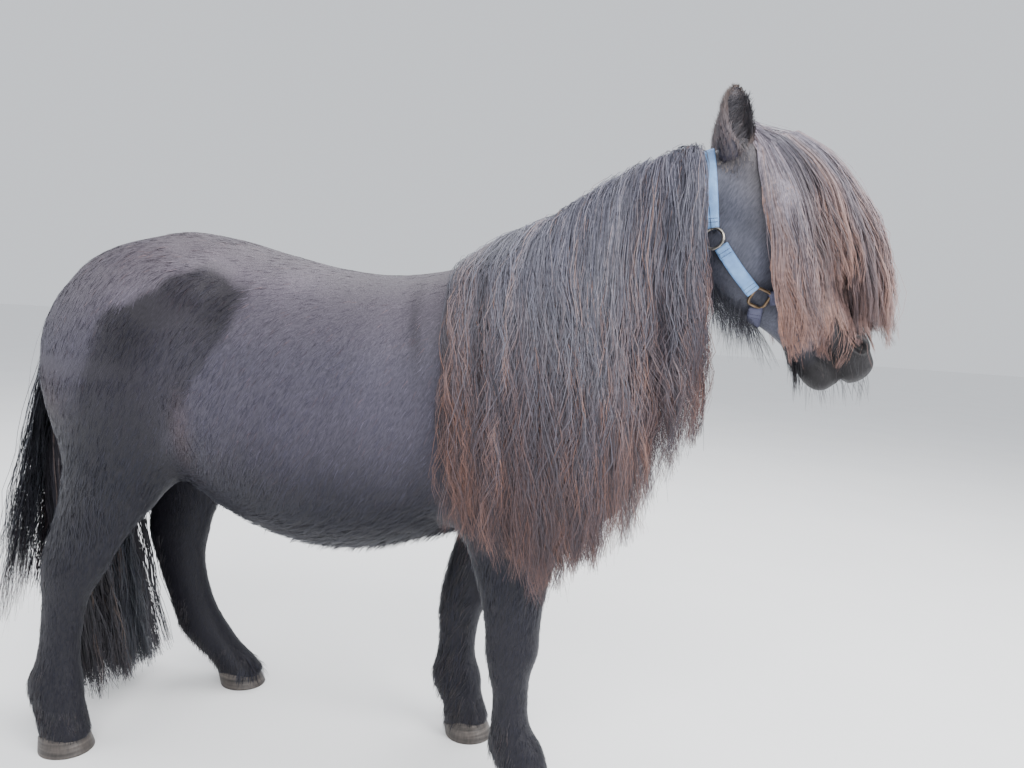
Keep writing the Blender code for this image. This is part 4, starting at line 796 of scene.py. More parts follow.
def head_share(p):
    """0 on the neck and body, 1 on the head."""
    return ramp(p[:, 0], 0.63, 0.04) * (p[:, 2] > 0.70)


def lie_of(p, normal):
    """Which way the coat lies at p."""
    x, y, z = p.T
    side, zero, one = np.sign(y), np.zeros(len(p)), np.ones(len(p))
    neck = ramp(x, 0.34, 0.08) * (z > 0.55)
    leg = ramp(-z, -0.52, 0.08) * (np.abs(y) > 0.03) * ((x > 0.20) | (x < -0.19))
    flow = np.column_stack([-0.48 * one, zero, -0.88 * one])
    flow = toward(flow, ramp(normal[:, 2], 0.5, 0.4), np.column_stack([-one, side * 0.35, zero]))            # back
    flow = toward(flow, ramp(-normal[:, 2], 0.4, 0.4), np.column_stack([-one, -side * 0.25, -0.2 * one]))    # belly
    flow = toward(flow, ramp(-x, 0.22, 0.10), (-0.35, 0.0, -0.95))                                           # haunch
    flow = flow + bell((x + 0.16) / 0.06, (z - 0.66) / 0.14)[:, None] * np.array((0.5, 0.0, 0.9)) * 0.9      # flank
    flow = toward(flow, leg, (-0.12, 0.0, -1.0))
    flow = toward(flow, neck, (-0.30, 0.0, -0.95))
    flow = toward(flow, neck * ramp(normal[:, 0], 0.4, 0.4), np.column_stack([zero, side * 0.1, -one]))      # chest
    _, (ax, az), (ux, uz) = HEAD_FRAME
    facial = np.array((ax * 0.85 - ux * 0.45, 0.0, az * 0.85 - uz * 0.45))
    facial = toward(facial, ramp(normal @ np.array((ux, 0.0, uz)), 0.3, 0.5), (ax, 0.0, az))
    return toward(flow, head_share(p), facial)


def coat_length(p):
    x, _, z = p.T
    along, up = head_places(p)
    belly = ramp(-z, -0.52, 0.08) * (np.abs(x) < 0.26)
    leg = ramp(-z, -0.42, 0.08) * (1 - belly)
    length = 0.022 + belly * 0.006 - leg * 0.011
    face = 0.0085 - 0.0055 * ramp(along, 0.24, 0.12) + 0.007 * ramp(-up, 0.09, 0.04)
    face -= 0.004 * bell((along - EYE[0]) / 0.035, (up - EYE[1]) / 0.03)
    head = head_share(p)
    return length * (1 - head) + np.maximum(face, 0.0025) * head


def ribbons(paths, widths, facing):
    """Flat strips along paths (count, steps, 3), with the ways they run and spread; facing is their flat side."""
    count, steps, _ = paths.shape
    run = unit(np.gradient(paths, axis=1))
    across = unit(np.cross(run, facing))
    half = across * widths[:, :, None] / 2
    points = np.stack([paths - half, paths + half], 2).reshape(-1, 3)
    points[:, 2] = np.maximum(points[:, 2], FLOOR_GAP)
    first = (np.arange(count) * steps * 2)[:, None, None] + (np.arange(steps - 1) * 2)[None, :, None]
    return points, (first + np.array((0, 1, 3, 2))).reshape(-1, 4), run, across


def strip_uv(roots, steps):
    """A patch of the bake's sheet for each strip, at the place of its root."""
    uv = np.zeros((len(roots), steps, 2, 2))
    uv[:] = unwrap(roots)[:, None, None, :]
    uv[:, :, 1, 0] += PATCH
    uv[..., 1] += np.linspace(0, PATCH, steps)[None, :, None]
    return uv.reshape(-1, 2)


def hair_piece(name, paths, widths, facing, tone, material, early=None, shading=None):
    """Strips joined into pieces under the limit of faces, with their tone and place along the hair."""
    count, steps, _ = paths.shape
    early = np.zeros(count) if early is None else early
    shading = facing if shading is None else shading
    most = TRIANGLE_LIMIT // ((steps - 1) * 2)
    for number, start in enumerate(range(0, count, most), 1):
        part = slice(start, start + most)
        points, quads, run, across = ribbons(paths[part], widths[part], facing[part])
        piece = object_of(f"{name}_{number}", points, quads)
        out = unit(shading[part] - run * (shading[part] * run).sum(2, keepdims=True))
        shade_as(piece, np.stack([out - across * 0.25, out + across * 0.25], 2).reshape(-1, 3))
        along = np.tile(np.repeat(np.linspace(0, 1, steps), 2), len(run))
        add_number(piece, "along", along + np.repeat(early[part], steps * 2))
        add_number(piece, "tone", np.repeat(tone[part], steps * 2))
        add_uv(piece, strip_uv(paths[part, 0], steps))
        finish_piece(piece, material, "hair")


def fall(roots, starts, ends, clear, keep_off, drift, wall=None, step=0.022):
    """Paths of hair from roots: off along starts, then down over what it meets, to the level ends gives."""
    stiffness, most_steps = 0.62, 80
    down = np.array((0.0, 0.0, -1.0))
    heading = unit(starts)
    place = roots.copy()
    trail = [place]
    for n in range(most_steps):
        heading = unit(heading * stiffness + (down + drift) * (1 - stiffness))
        after = place + heading * step
        for _ in range(2):
            short = clear * min(1.0, 0.35 + 0.3 * n) - keep_off(after)
            near = np.flatnonzero(short > 0)
            if len(near):
                out = unit(slope_of(keep_off, after[near], 0.004))
                after[near] += out * short[near][:, None]
            if wall is not None:
                after = wall(after)
        done = place[:, 2] <= ends(place)
        after[done] = place[done]
        heading = np.where(done[:, None], heading, unit(after - place))
        place = after
        trail.append(place)
        if done.all():
            break
    return np.stack(trail, 1)


def evened(paths, count):
    """Paths taken again at count even steps."""
    steps = np.linalg.norm(np.diff(paths, axis=1), axis=2)
    at = np.concatenate([np.zeros((len(paths), 1)), np.cumsum(steps, axis=1)], axis=1)
    at += np.arange(at.shape[1]) * 1e-9
    out = np.empty((len(paths), count, 3))
    for k in range(len(paths)):
        places = np.linspace(0, at[k, -1], count)
        for i in range(3):
            out[k, :, i] = np.interp(places, at[k], paths[k, :, i])
    return out


def clumped(paths, leaders, hold, spread):
    """Draws each path towards its lock's leader, more so towards the tip."""
    lead = paths[leaders]
    share = np.linspace(0, 1, paths.shape[1])[None, :, None]
    near = np.reshape(hold, (-1, 1, 1)) * np.clip(share * 1.6, 0, 1) ** 0.9
    swing = rng.normal(0, 1, (len(paths), 1, 3)) * spread * (1 - 0.55 * share)
    goal = lead + swing
    return paths * (1 - near) + goal * near


def waved(paths, size, length, phase, crinkle=0.0):
    """A soft wave along each path and a finer crinkle on it; both begin past the root."""
    count, steps, _ = paths.shape
    run = unit(np.gradient(paths, axis=1))
    side = unit(np.cross(run, np.array((0.0, 1.0, 0.02))))
    other = np.cross(run, side)
    far = np.linalg.norm(np.diff(paths, axis=1), axis=2)
    at = np.concatenate([np.zeros((count, 1)), np.cumsum(far, axis=1)], axis=1)
    share = 0.15 + 0.85 * np.clip(np.linspace(0, 1, steps)[None, :] * 1.3, 0, 1) ** 1.4
    share = share * np.clip(np.linspace(0, 1, steps)[None, :] * 5, 0, 1)
    turn = at / length[:, None] * 6.28 + phase[:, None]
    swing = size[:, None] * np.sin(turn + 0.8 * np.sin(turn * 0.37)) * share
    swing += crinkle * np.sin(at / 0.11 * 6.28 + 3.1 * phase[:, None]) * share
    lift = 0.5 * size[:, None] * np.cos(turn * 0.83 + phase[:, None] * 1.7) * share
    return paths + side * swing[:, :, None] + other * lift[:, :, None]


def leaders_of(roots, number, stretch=(1.0, 1.0, 1.0)):
    """Locks: each root's nearest of a number of roots picked at random."""
    roots = roots * np.array(stretch)
    chosen = rng.choice(len(roots), number, replace=False)
    nearest = np.empty(len(roots), int)
    for start in range(0, len(roots), 2000):
        part = roots[start:start + 2000]
        gap = ((part[:, None, :] - roots[chosen][None, :, :]) ** 2).sum(2)
        nearest[start:start + 2000] = chosen[np.argmin(gap, 1)]
    return nearest


def strand_widths(count, steps, width):
    """Each strand's width along it: fullest in the middle, thin at the tip."""
    share = np.linspace(0, 1, steps)
    shape = np.interp(share, (0, 0.1, 0.7, 1), (0.7, 1.0, 0.85, 0.25))
    return width * shape[None, :] * rng.uniform(0.75, 1.25, (count, 1))


def outward_of(paths, keep_off, twist=0.5, aside=0.0):
    """The flat side of each strand faces away from the body, or more to its own side, with a small twist."""
    count, steps, _ = paths.shape
    middle = paths[:, steps // 2]
    out = unit(slope_of(keep_off, middle, 0.006))
    out[:, 1] += aside * np.where(middle[:, 1] + rng.normal(0, 0.006, count) > 0, 1.0, -1.0)
    out = unit(out + rng.normal(0, twist, (count, 3)))
    return np.repeat(out[:, None, :], steps, axis=1)


def on_top(x, y, distance):
    """The places on the back or crest above x and y."""
    low = 0.70 + np.clip(x - 0.36, 0, 0.27) * 1.2
    high = np.full(len(x), 1.35)
    for _ in range(24):
        middle = (low + high) / 2
        inside = distance(np.column_stack([x, y, middle])) < 0
        low = np.where(inside, middle, low)
        high = np.where(inside, high, middle)
    return np.column_stack([x, y, low])


def mane_strands(side, count, ends, body, steps):
    """One side of the mane: over the crest, down the neck and shoulder, between two loose walls."""
    x = rng.uniform(0.245, 0.642, count)
    y = side * rng.uniform(-0.016, 0.036, count)
    roots = on_top(x, y, body)
    back = np.interp(x, (0.25, 0.40), (-0.10, 0.0)) + rng.uniform(-0.25, 0.15, count)
    starts = np.column_stack([back, side * rng.uniform(0.3, 1.1, count), rng.uniform(0.35, 0.9, count)])
    short = rng.gamma(1.6, 0.042, count) - 0.012
    drift = np.column_stack([np.interp(x, *np.array(MANE_DRIFT).T), np.zeros(count), np.zeros(count)])
    clear = rng.uniform(0.003, 0.036, count) * np.interp(x, (0.25, 0.36), (0.25, 1.0))
    behind = 0.236 + rng.gamma(2.2, 0.022, count)
    front = rng.normal(0, 0.008, count)
    locks = leaders_of(np.column_stack([x, clear * 1.2, x * 0]), max(count // 110, 8))
    drift[:, 0] += rng.normal(0, 0.05, count)[locks] + rng.normal(0, 0.02, count)
    short += rng.normal(0, 0.02, count)[locks]

    def ends_at(p):
        return np.interp(p[:, 0], *np.array(ends).T) + short

    def wall(p):
        limit = np.interp(p[:, 2], (0.60, 0.85, 1.00, 1.15), (0.668, 0.668, 0.652, 0.640)) + front
        p[:, 0] = np.clip(p[:, 0], behind, limit)
        return p

    paths = evened(fall(roots, starts, ends_at, clear, body, drift, wall), steps)
    paths, tone = combed(paths, locks, count, (0.005, 0.014), (0.10, 0.19))
    early = rng.normal(0, 0.14, count)[locks] + rng.normal(0, 0.08, count)
    early += np.interp(x, (0.27, 0.38, 0.58, 0.64), (0.20, 0.0, 0.0, -0.08))
    return paths, tone, early


def combed(paths, locks, count, size, length, inner=30, hold=0.5):
    """Draws strands into small locks within larger ones, with one wave to each, and a few strays."""
    own = np.arange(count)
    small = leaders_of(paths[:, paths.shape[1] // 2], max(count // inner, 8))
    stray = rng.random(count) < 0.05
    tone = rng.uniform(0, 1, count)
    tone = 0.46 * tone[locks] + 0.36 * tone[small] + 0.18 * tone
    tone = np.clip(0.48 + (tone - 0.5) * 1.4, 0, 1)
    phase = rng.uniform(0, 6.28, count)
    phase = phase[locks] + rng.normal(0, 0.5, count)[small] + rng.normal(0, 0.25, count)
    swing = rng.uniform(*size, count)[locks] * rng.uniform(0.7, 1.3, count)[small]
    swing = np.where(stray, swing * 0.9 + 0.003, swing)
    phase = np.where(stray, rng.uniform(0, 6.28, count), phase)
    period = rng.uniform(*length, count)[locks] * rng.uniform(0.9, 1.1, count)[small]
    period = np.where(stray, rng.uniform(0.20, 0.34, count), period)
    paths = clumped(paths, locks, rng.uniform(0.1, hold, count), 0.014)
    small = np.where(stray, own, small)
    paths = clumped(paths, small, rng.uniform(0.45, 0.95, count), 0.0034)
    return waved(paths, swing, period, phase, 0.0012), tone


def forelock_strands(count, face):
    """Hair from the poll over the face: each strand keeps its own turn about the head."""
    degrees = rng.uniform(-93, 93, count)
    turns = np.radians(degrees)
    tight = 1 - 0.45 * rng.random(count) ** 1.5
    inner = (np.abs(degrees) < 50) & (rng.random(count) < 0.35)
    tight = np.where(inner, rng.uniform(0.0, 0.6, count), tight)
    ends = np.interp(np.abs(degrees), *np.array(FORELOCK_ENDS).T) + rng.normal(0, 0.016, count)
    ends += 0.045 * np.exp(-(((np.abs(degrees) - 54) / 9) ** 2)) - rng.gamma(1.3, 0.014, count)
    ends = np.where(degrees > 60, np.minimum(ends, 0.300 + rng.normal(0, 0.015, count)), ends)
    steps = 18
    share = np.linspace(0, 1, steps)
    along = FORELOCK_START + (ends[:, None] - FORELOCK_START) * share[None, :] ** 1.1
    high, low, wide = (np.interp(along, FORELOCK[:, 0], FORELOCK[:, k]) for k in (1, 2, 3))
    up = low * 0.80 + (high - low * 0.80) * np.cos(turns)[:, None] * (0.35 + 0.65 * tight[:, None])
    side = wide * np.sin(turns)[:, None] * (0.72 + 0.28 * tight[:, None])
    curl = rng.uniform(-0.014, 0.004, count)[:, None] * np.clip(share * 4 - 3, 0, 1)[None, :] ** 2
    along = along + curl
    up = up + 1.4 * curl * np.cos(turns)[:, None]
    paths = np.stack(head_point(along, up, side), 2)
    paths[:, 0] = settle(face, paths[:, 0] + rng.normal(0, 0.007, (count, 3)), 4)
    locks = leaders_of(np.column_stack([turns * 0.1, tight * 0.08, 0 * turns]), max(count // 110, 6))
    paths, tone = combed(paths, locks, count, (0.003, 0.008), (0.09, 0.17), hold=0.3)
    ramp = np.tile(share, count)
    for _ in range(3):
        flat = paths.reshape(-1, 3)
        short = np.clip(ramp * 4, 0, 1) * 0.006 - face(flat)
        near = np.flatnonzero((short > 0) & (ramp > 0))
        flat[near] += unit(slope_of(face, flat[near], 0.003)) * short[near][:, None]
        paths = flat.reshape(count, steps, 3)
    early = rng.normal(0, 0.14, count)[locks] + rng.normal(0, 0.08, count)
    early += np.interp(np.abs(degrees), (55, 64, 76, 86), (0.0, -0.10, -0.10, 0.12))
    # the strands at the front of the forelock are painted lighter, with longer red tips: a painted highlight
    early += np.interp(np.abs(degrees), (0, 30), (0.12, 0.0))
    tone = np.clip(tone + np.interp(np.abs(degrees), (25, 50), (0.06, 0.0)), 0, 1)
    return evened(paths, 15), tone, early


def tail_strands(count, body):
    """The tail: most of it hangs left of the middle to the ground, with wavy wisps on the right."""
    level = 0.885 - 0.26 * rng.random(count) ** 0.8
    rows = np.array(DOCK)
    x = np.interp(level, rows[:, 0], rows[:, 1:3].mean(1))
    half = np.interp(level, rows[:, 0], rows[:, 3])
    turn = rng.uniform(-2.2, 2.2, count)
    reach = np.interp(level, rows[:, 0], np.abs(rows[:, 1] - rows[:, 2]) / 2)
    roots = np.column_stack([x - reach * np.cos(turn) * 0.8, half * np.sin(turn) * 0.8, level])
    side = np.where(rng.random(count) < 0.78, 1.0, -1.0)
    spread = rng.uniform(0.0, 1.0, count)
    starts = np.column_stack([-np.cos(turn) - 0.2, np.sin(turn) * 1.0 + side * 0.3, np.full(count, -0.2)])
    ends = np.where(side > 0, 0.030 + rng.gamma(1.5, 0.018, count), 0.14 + rng.gamma(2.0, 0.07, count))
    sway = np.where(side > 0, -0.02 + 0.23 * spread, -0.05 - 0.17 * spread)
    drift = np.column_stack([np.where(side > 0, 0.12, -0.05) + rng.normal(0, 0.03, count), sway, np.zeros(count)])
    clear = rng.uniform(0.004, 0.036, count)
    paths = evened(fall(roots, starts, lambda p: ends, clear, body, drift, step=0.025), 17)
    locks = leaders_of(np.column_stack([side * spread * 0.2, level * 0.5, clear]), max(count // 90, 8))
    paths, tone = combed(paths, locks, count, (0.004, 0.011), (0.14, 0.26))
    return paths, tone * 0.95, rng.normal(0, 0.05, count) - 0.2 * (side > 0)


def short_strands(points, normals, lie, length, lift, steps=5, curl=0.25):
    """Longer single hairs lying off the coat: from points, along lie, bending down to it."""
    share = np.linspace(0, 1, steps)[None, :, None]
    way = unit(lie - normals * (lie * normals).sum(1, keepdims=True))
    start = unit(way + normals * lift[:, None])
    bend = np.array((0.0, 0.0, -1.0)) * curl
    size = length[:, None, None]
    return points[:, None, :] + start[:, None, :] * share * size + bend * share**2 * size


def node_of(tree, kind, values=None, links=None, **settings):
    """A new node with its settings, the values of its sockets and what is linked into them."""
    node = tree.nodes.new(kind)
    for name, value in settings.items():
        setattr(node, name, value)
    for socket, value in (values or {}).items():
        node.inputs[socket].default_value = value
    for socket, value in (links or {}).items():
        tree.links.new(value, node.inputs[socket])
    return node


def shader(name, roughness, specular, **more):
    """A new material and its tree. Further values of its shader are named with _ for each space."""
    material = bpy.data.materials.new(name)
    material.use_nodes = True
    surface = material.node_tree.nodes["Principled BSDF"]
    surface.inputs["Roughness"].default_value = roughness
    surface.inputs["Specular IOR Level"].default_value = specular
    for socket, value in more.items():
        surface.inputs[socket.replace("_", " ")].default_value = value
    return material, material.node_tree


def coloured(tree, colour):
    tree.links.new(colour, tree.nodes["Principled BSDF"].inputs["Base Color"])


def noise_of(tree, scale, detail=3.0, stretch=None, turn=None):
    """Noise on the piece's own places, turned and then stretched where these are given."""
    place = tree.nodes.new("ShaderNodeTexCoord").outputs["Object"]
    for socket, value in (("Rotation", turn), ("Scale", stretch)):
        if value:
            place = node_of(tree, "ShaderNodeMapping", {socket: value}, {"Vector": place}).outputs["Vector"]
    return node_of(tree, "ShaderNodeTexNoise", {"Scale": scale, "Detail": detail}, {"Vector": place}).outputs["Fac"]


def fur_noise(tree, across, along, detail):
    """Noise drawn out the way the coat lies on the flanks."""
    return noise_of(tree, 1.0, detail, (across, across, along), (0.0, math.radians(-28.6), 0.0))


def ramp_of(tree, value, stops):
    node = node_of(tree, "ShaderNodeValToRGB", links={"Fac": value})
    elements = node.color_ramp.elements
    while len(elements) < len(stops):
        elements.new(0.5)
    for element, (place, colour) in zip(elements, stops):
        element.position = place
        element.color = (*colour, 1.0)
    return node.outputs["Color"]


def mixed(tree, first, second, share=None):
    """The first colour turned into the second by share, or with no share the two multiplied."""
    values, links = {}, {6: first, 7: second}
    if share is None or isinstance(share, float):
        values[0] = 1.0 if share is None else share
    else:
        links[0] = share
    blend = "MULTIPLY" if share is None else "MIX"
    return node_of(tree, "ShaderNodeMix", values, links, data_type="RGBA", blend_type=blend).outputs[2]


def varied(tree, colour, value, dark, light, low=0.3, high=0.7):
    """The colour times a tone that goes from dark to light as value goes from low to high."""
    return mixed(tree, colour, ramp_of(tree, value, ((low, dark), (high, light))))


def bump_of(tree, height, strength, distance):
    bump = node_of(tree, "ShaderNodeBump", {"Strength": strength, "Distance": distance}, {"Height": height})
    tree.links.new(bump.outputs["Normal"], tree.nodes["Principled BSDF"].inputs["Normal"])


def attribute_of(tree, name, output="Fac"):
    return node_of(tree, "ShaderNodeAttribute", attribute_name=name).outputs[output]


def math_of(tree, operation, *inputs):
    """What a Math node makes of sockets and plain numbers."""
    node = node_of(tree, "ShaderNodeMath", operation=operation)
    for place, value in enumerate(inputs):
        if isinstance(value, float):
            node.inputs[place].default_value = value
        else:
            tree.links.new(value, node.inputs[place])
    return node.outputs[0]


def coat_material():
    sheen = {"Sheen_Weight": 0.06, "Sheen_Roughness": 0.45, "Sheen_Tint": (0.78, 0.84, 1.0, 1.0)}
    material, tree = shader("coat", 0.44, 0.26, Specular_Tint=(0.80, 0.84, 1.0, 1.0), **sheen)
    colour, fine = attribute_of(tree, "tint", "Color"), fur_noise(tree, 310.0, 42.0, 3.0)
    colour = varied(tree, colour, fine, (0.74, 0.74, 0.76), (1.26, 1.25, 1.23), 0.32, 0.68)
    colour = varied(tree, colour, noise_of(tree, 9.0), (0.86, 0.86, 0.88), (1.12, 1.10, 1.06), 0.35, 0.65)
    coloured(tree, colour)
    return material


def skin_material():
    material, tree = shader("skin", 0.52, 0.24)
    colour, fine = attribute_of(tree, "tint", "Color"), fur_noise(tree, 420.0, 90.0, 4.0)
    coloured(tree, varied(tree, colour, fine, (0.72, 0.72, 0.73), (1.24, 1.23, 1.21), 0.32, 0.68))
    bump_of(tree, fine, 0.8, 0.0012)
    return material


def hair_material(name, stops, tips, tip_start):
    """Long hair: each strand's tone picks its colour, and the tips are bleached to a red brown."""
    sheen = {"Sheen_Weight": 0.10, "Sheen_Roughness": 0.5, "Sheen_Tint": (0.74, 0.82, 1.0, 1.0)}
    material, tree = shader(name, 0.50, 0.32, **sheen)
    tone, along = attribute_of(tree, "tone"), attribute_of(tree, "along")
    share = ramp_of(tree, along, ((tip_start, (0.0, 0.0, 0.0)), (1.0, (1.0, 1.0, 1.0))))
    colour = mixed(tree, ramp_of(tree, tone, stops), ramp_of(tree, tone, tips), share)
    colour = varied(tree, colour, noise_of(tree, 160.0, 2.0), (0.72, 0.72, 0.74), (1.22, 1.20, 1.18))
    # near the root the hair is painted lighter and bluer, a painted sheen that fades out along the first part of it
    coloured(tree, varied(tree, colour, along, (1.38, 1.38, 1.44), (1.0, 1.0, 1.0), 0.0, 0.38))
    return material


def horn_material():
    material, tree = shader("horn", 0.45, 0.4)
    rings = noise_of(tree, 1.0, 4.0, (6.0, 6.0, 160.0))
    streaks = noise_of(tree, 1.0, 3.0, (220.0, 220.0, 9.0))
    stops = ((0.30, (0.022, 0.019, 0.018)), (0.52, (0.058, 0.050, 0.046)), (0.72, (0.110, 0.096, 0.088)))
    coloured(tree, varied(tree, ramp_of(tree, rings, stops), streaks, (0.7, 0.7, 0.7), (1.25, 1.22, 1.18)))
    bump_of(tree, rings, 0.6, 0.0015)
    return material


def eye_material():
    """A dark brown eye: a wide low pupil in a brown iris with a thin dark rim, under a clear wet coat."""
    material, tree = shader("eye", 0.12, 0.5, Coat_Weight=1.0, Coat_Roughness=0.03)
    stops = (
        (0.30, (0.004, 0.003, 0.004)),
        (0.36, (0.030, 0.014, 0.008)),
        (0.62, (0.050, 0.024, 0.012)),
        (0.80, (0.012, 0.007, 0.006)),
        (0.92, (0.060, 0.045, 0.040)),
    )
    iris, rays = ramp_of(tree, attribute_of(tree, "look"), stops), noise_of(tree, 420.0, 2.0)
    coloured(tree, varied(tree, iris, rays, (0.7, 0.7, 0.7), (1.3, 1.3, 1.3)))
    return material


def webbing_material(name, light, dark, row):
    """Woven webbing: ribs along and across the band, a darker row near each edge, worn patches."""
    material, tree = shader(name, 0.8, 0.15)
    across, along = attribute_of(tree, "across"), attribute_of(tree, "run")
    ribs = ((across, 95.0), (along, 5200.0))
    weave = [math_of(tree, "SINE", math_of(tree, "MULTIPLY", value, scale)) for value, scale in ribs]
    height = math_of(tree, "MULTIPLY_ADD", math_of(tree, "MULTIPLY", *weave), 0.5, 0.5)
    # the low parts of the weave are darker: painted shade between the ribs
    threads = ramp_of(tree, height, ((0.0, dark), (1.0, light)))
    stops = ((0.0, row), (0.13, light), (0.20, light), (0.80, light), (0.87, light), (1.0, row))
    colour, patches = mixed(tree, threads, ramp_of(tree, across, stops), 0.5), noise_of(tree, 38.0, 4.0)
    coloured(tree, varied(tree, colour, patches, (0.62, 0.62, 0.66), (1.12, 1.10, 1.08), 0.32, 0.68))
    bump_of(tree, height, 0.5, 0.0006)
    return material


def metal_material(name, colour, rough):
    material, tree = shader(name, rough, 0.5, Metallic=1.0)
    worn = noise_of(tree, 130.0)
    coloured(tree, ramp_of(tree, worn, ((0.35, tuple(0.55 * c for c in colour)), (0.65, colour))))
    bump_of(tree, worn, 0.15, 0.0004)
    return material


COAT = np.array((0.047, 0.043, 0.061))
# a brownish tone with painted sheen, laid on the top of the back and croup
COAT_BROWN_SHEEN = np.array((0.108, 0.088, 0.102))
# painted shade, laid on the flank under the point of hip and along a crease near the mane
COAT_SHADE = np.array((0.0065, 0.0055, 0.0085))
COAT_RUST = np.array((0.085, 0.050, 0.048))
COAT_LEG = np.array((0.0092, 0.0088, 0.0130))
COAT_FACE = np.array((0.080, 0.078, 0.092))
COAT_MUZZLE = np.array((0.0115, 0.0105, 0.0120))
BARE = np.array((0.006, 0.005, 0.006))
INNER_EAR = np.array((0.105, 0.092, 0.098))

# Painted shade on the flank under the point of hip: its upper edge, along and up, and its front edge, up and along.
FLANK_TOP = np.array(
    (
        (-0.350, 0.775),
        (-0.331, 0.832),
        (-0.243, 0.882),
        (-0.176, 0.916),
        (-0.128, 0.915),
        (-0.085, 0.893),
        (-0.060, 0.840),
    )
)
FLANK_FRONT = np.array(((0.60, -0.225), (0.69, -0.150), (0.79, -0.084), (0.85, -0.066), (0.90, -0.062)))


def coat_colour(p):
    """The coat's colour, the same on the skin and on every tuft rooted there: its markings, with painted shade,
    painted highlights and painted sheen laid into it.
    """
    x, y, z = p.T

    def patch(mx, mz, rx, rz):
        return bell((x - mx) / rx, (z - mz) / rz)

    # lighter and browner on the upper body and croup: partly the coat's brown tone, partly painted sheen from above
    top = ramp(z, 0.78, 0.20) * ramp(-x, -0.40, 0.15)
    colour = toward(np.tile(COAT, (len(p), 1)), 0.65 * top, COAT_BROWN_SHEEN)
    wobble = 0.006 * np.sin(41 * x + 3) + 0.004 * np.sin(97 * x + 60 * z)
    # painted shade on the flank under the point of hip, inside a wavy edge, fainter on the left side
    under = np.interp(x, *FLANK_TOP.T) + wobble - z
    inside = eased((x + 0.360 + 0.25 * (0.80 - z)) / 0.045)
    inside = inside * eased((np.interp(z, *FLANK_FRONT.T) + wobble - x) / 0.026)
    hollow_shade = 0.76 + 0.20 * patch(-0.275, 0.74, 0.05, 0.14) + 0.12 * patch(-0.115, 0.85, 0.05, 0.06)
    hollow_shade *= eased(under / 0.016) * inside * (1 - 0.22 * eased((under - 0.06) / 0.10))
    hollow_shade *= np.where(y > 0, 0.45, 1.0)
    # painted highlights: a rim just above the painted shade's upper edge, a sheen patch on the loin, and a lighter
    # patch beside the crease near the mane
    rim = eased(-under / 0.010) * bell(under / 0.035) * inside
    light = 1 + 0.30 * rim + 0.38 * patch(-0.014, 0.900, 0.055, 0.035) + 0.16 * patch(0.17, 0.80, 0.035, 0.12)
    colour = toward(colour * light[:, None], hollow_shade, COAT_SHADE)
    rust = patch(-0.172, 0.61, 0.022, 0.07) + patch(-0.455, 0.66, 0.045, 0.05)
    colour = toward(colour, 0.45 * np.clip(rust, 0, 1), COAT_RUST)
    # painted shade along a crease near the mane's rear edge
    fold = bell((x - 0.216 + 0.25 * (z - 0.84)) / 0.010, (z - 0.84) / 0.07)
    colour = toward(colour, 0.55 * fold, COAT_SHADE)
    # darker towards the bottom: the legs' own near-black, and painted shade under the belly
    low = eased((0.715 + 0.07 * eased((-0.18 - x) / 0.1) + wobble - z) / 0.20)
    colour = toward(colour, 0.96 * low, COAT_LEG)

    head = head_share(p)
    along, up = head_places(p)
    shade = 0.62 * eased((-0.03 - up) / 0.10) * eased((0.30 - along) / 0.06)
    shade += 0.40 * bell((along - 0.13) / 0.05, (up - 0.03) / 0.04)
    face = COAT_FACE * (1 - 0.62 * np.clip(shade, 0, 1))[:, None]
    face = face * (1 + 0.20 * np.sin(70 * x + 25 * z) * np.sin(55 * z - 20 * x))[:, None]
    # browner above and bluer below: the blue on the cheek and lower face is a painted sheen
    high = eased((up + 0.07) / 0.10)[:, None]
    face = face * (high * (1.06, 0.98, 0.88) + (1 - high) * (0.90, 0.97, 1.12))
    colour = toward(colour, head, face)
    colour = toward(colour, head * ramp(along, 0.30, 0.08), COAT_MUZZLE)
    nostril = bell((along - 0.385) / 0.020, (up - 0.020) / 0.012)
    mouth = bell((up + 0.021 + 0.10 * (along - 0.397)) / 0.006) * ramp(along, 0.345, 0.01)
    lids = bell((along - EYE[0]) / 0.024, (up - EYE[1]) / 0.015)
    return toward(colour, np.clip((nostril + 0.8 * mouth + lids) * head, 0, 1), BARE)


def tuft_corners(start, middle, tip, low, high):
    """A tuft's corners: two at its root, low to each side of start, two halfway up it, and the tip."""
    return np.stack([start - low, start + low, middle - high, middle + high, tip], 1)


def coat_tufts(points, quads, normals, count):
    """Small curved tufts over the whole skin, each of a quad and a triangle."""
    places = middles(points, quads)
    weight = np.minimum((0.022 / coat_length(places)) ** 1.5, 4.5) * (places[:, 2] > 0.03)
    roots, facing = scattered(points, quads, normals, count, weight)
    length = coat_length(roots) * rng.uniform(0.7, 1.3, count)
    lie = lie_of(roots, facing) + rng.normal(0, 0.10, (count, 3))
    way = unit(lie - facing * (lie * facing).sum(1, keepdims=True))
    rough = eased((0.66 - roots[:, 2]) / 0.2)
    lift = (rng.uniform(0.015, 0.06, count) + rough * rng.uniform(0.02, 0.26, count))[:, None]
    side = unit(np.cross(way, facing) + facing * rng.normal(0, 0.30, (count, 1)))
    wide = (length * 0.058 * rng.uniform(0.7, 1.3, count))[:, None]
    start = roots - facing * 0.0005
    size = length[:, None]
    middle = start + (way + facing * lift) * size * 0.5
    tip = start + (way + facing * lift * 0.5) * size + np.cross(way, facing) * rng.normal(0, 0.10, (count, 1)) * size
    return roots, tuft_corners(start, middle, tip, side * wide * 0.5, side * wide * 0.42), facing


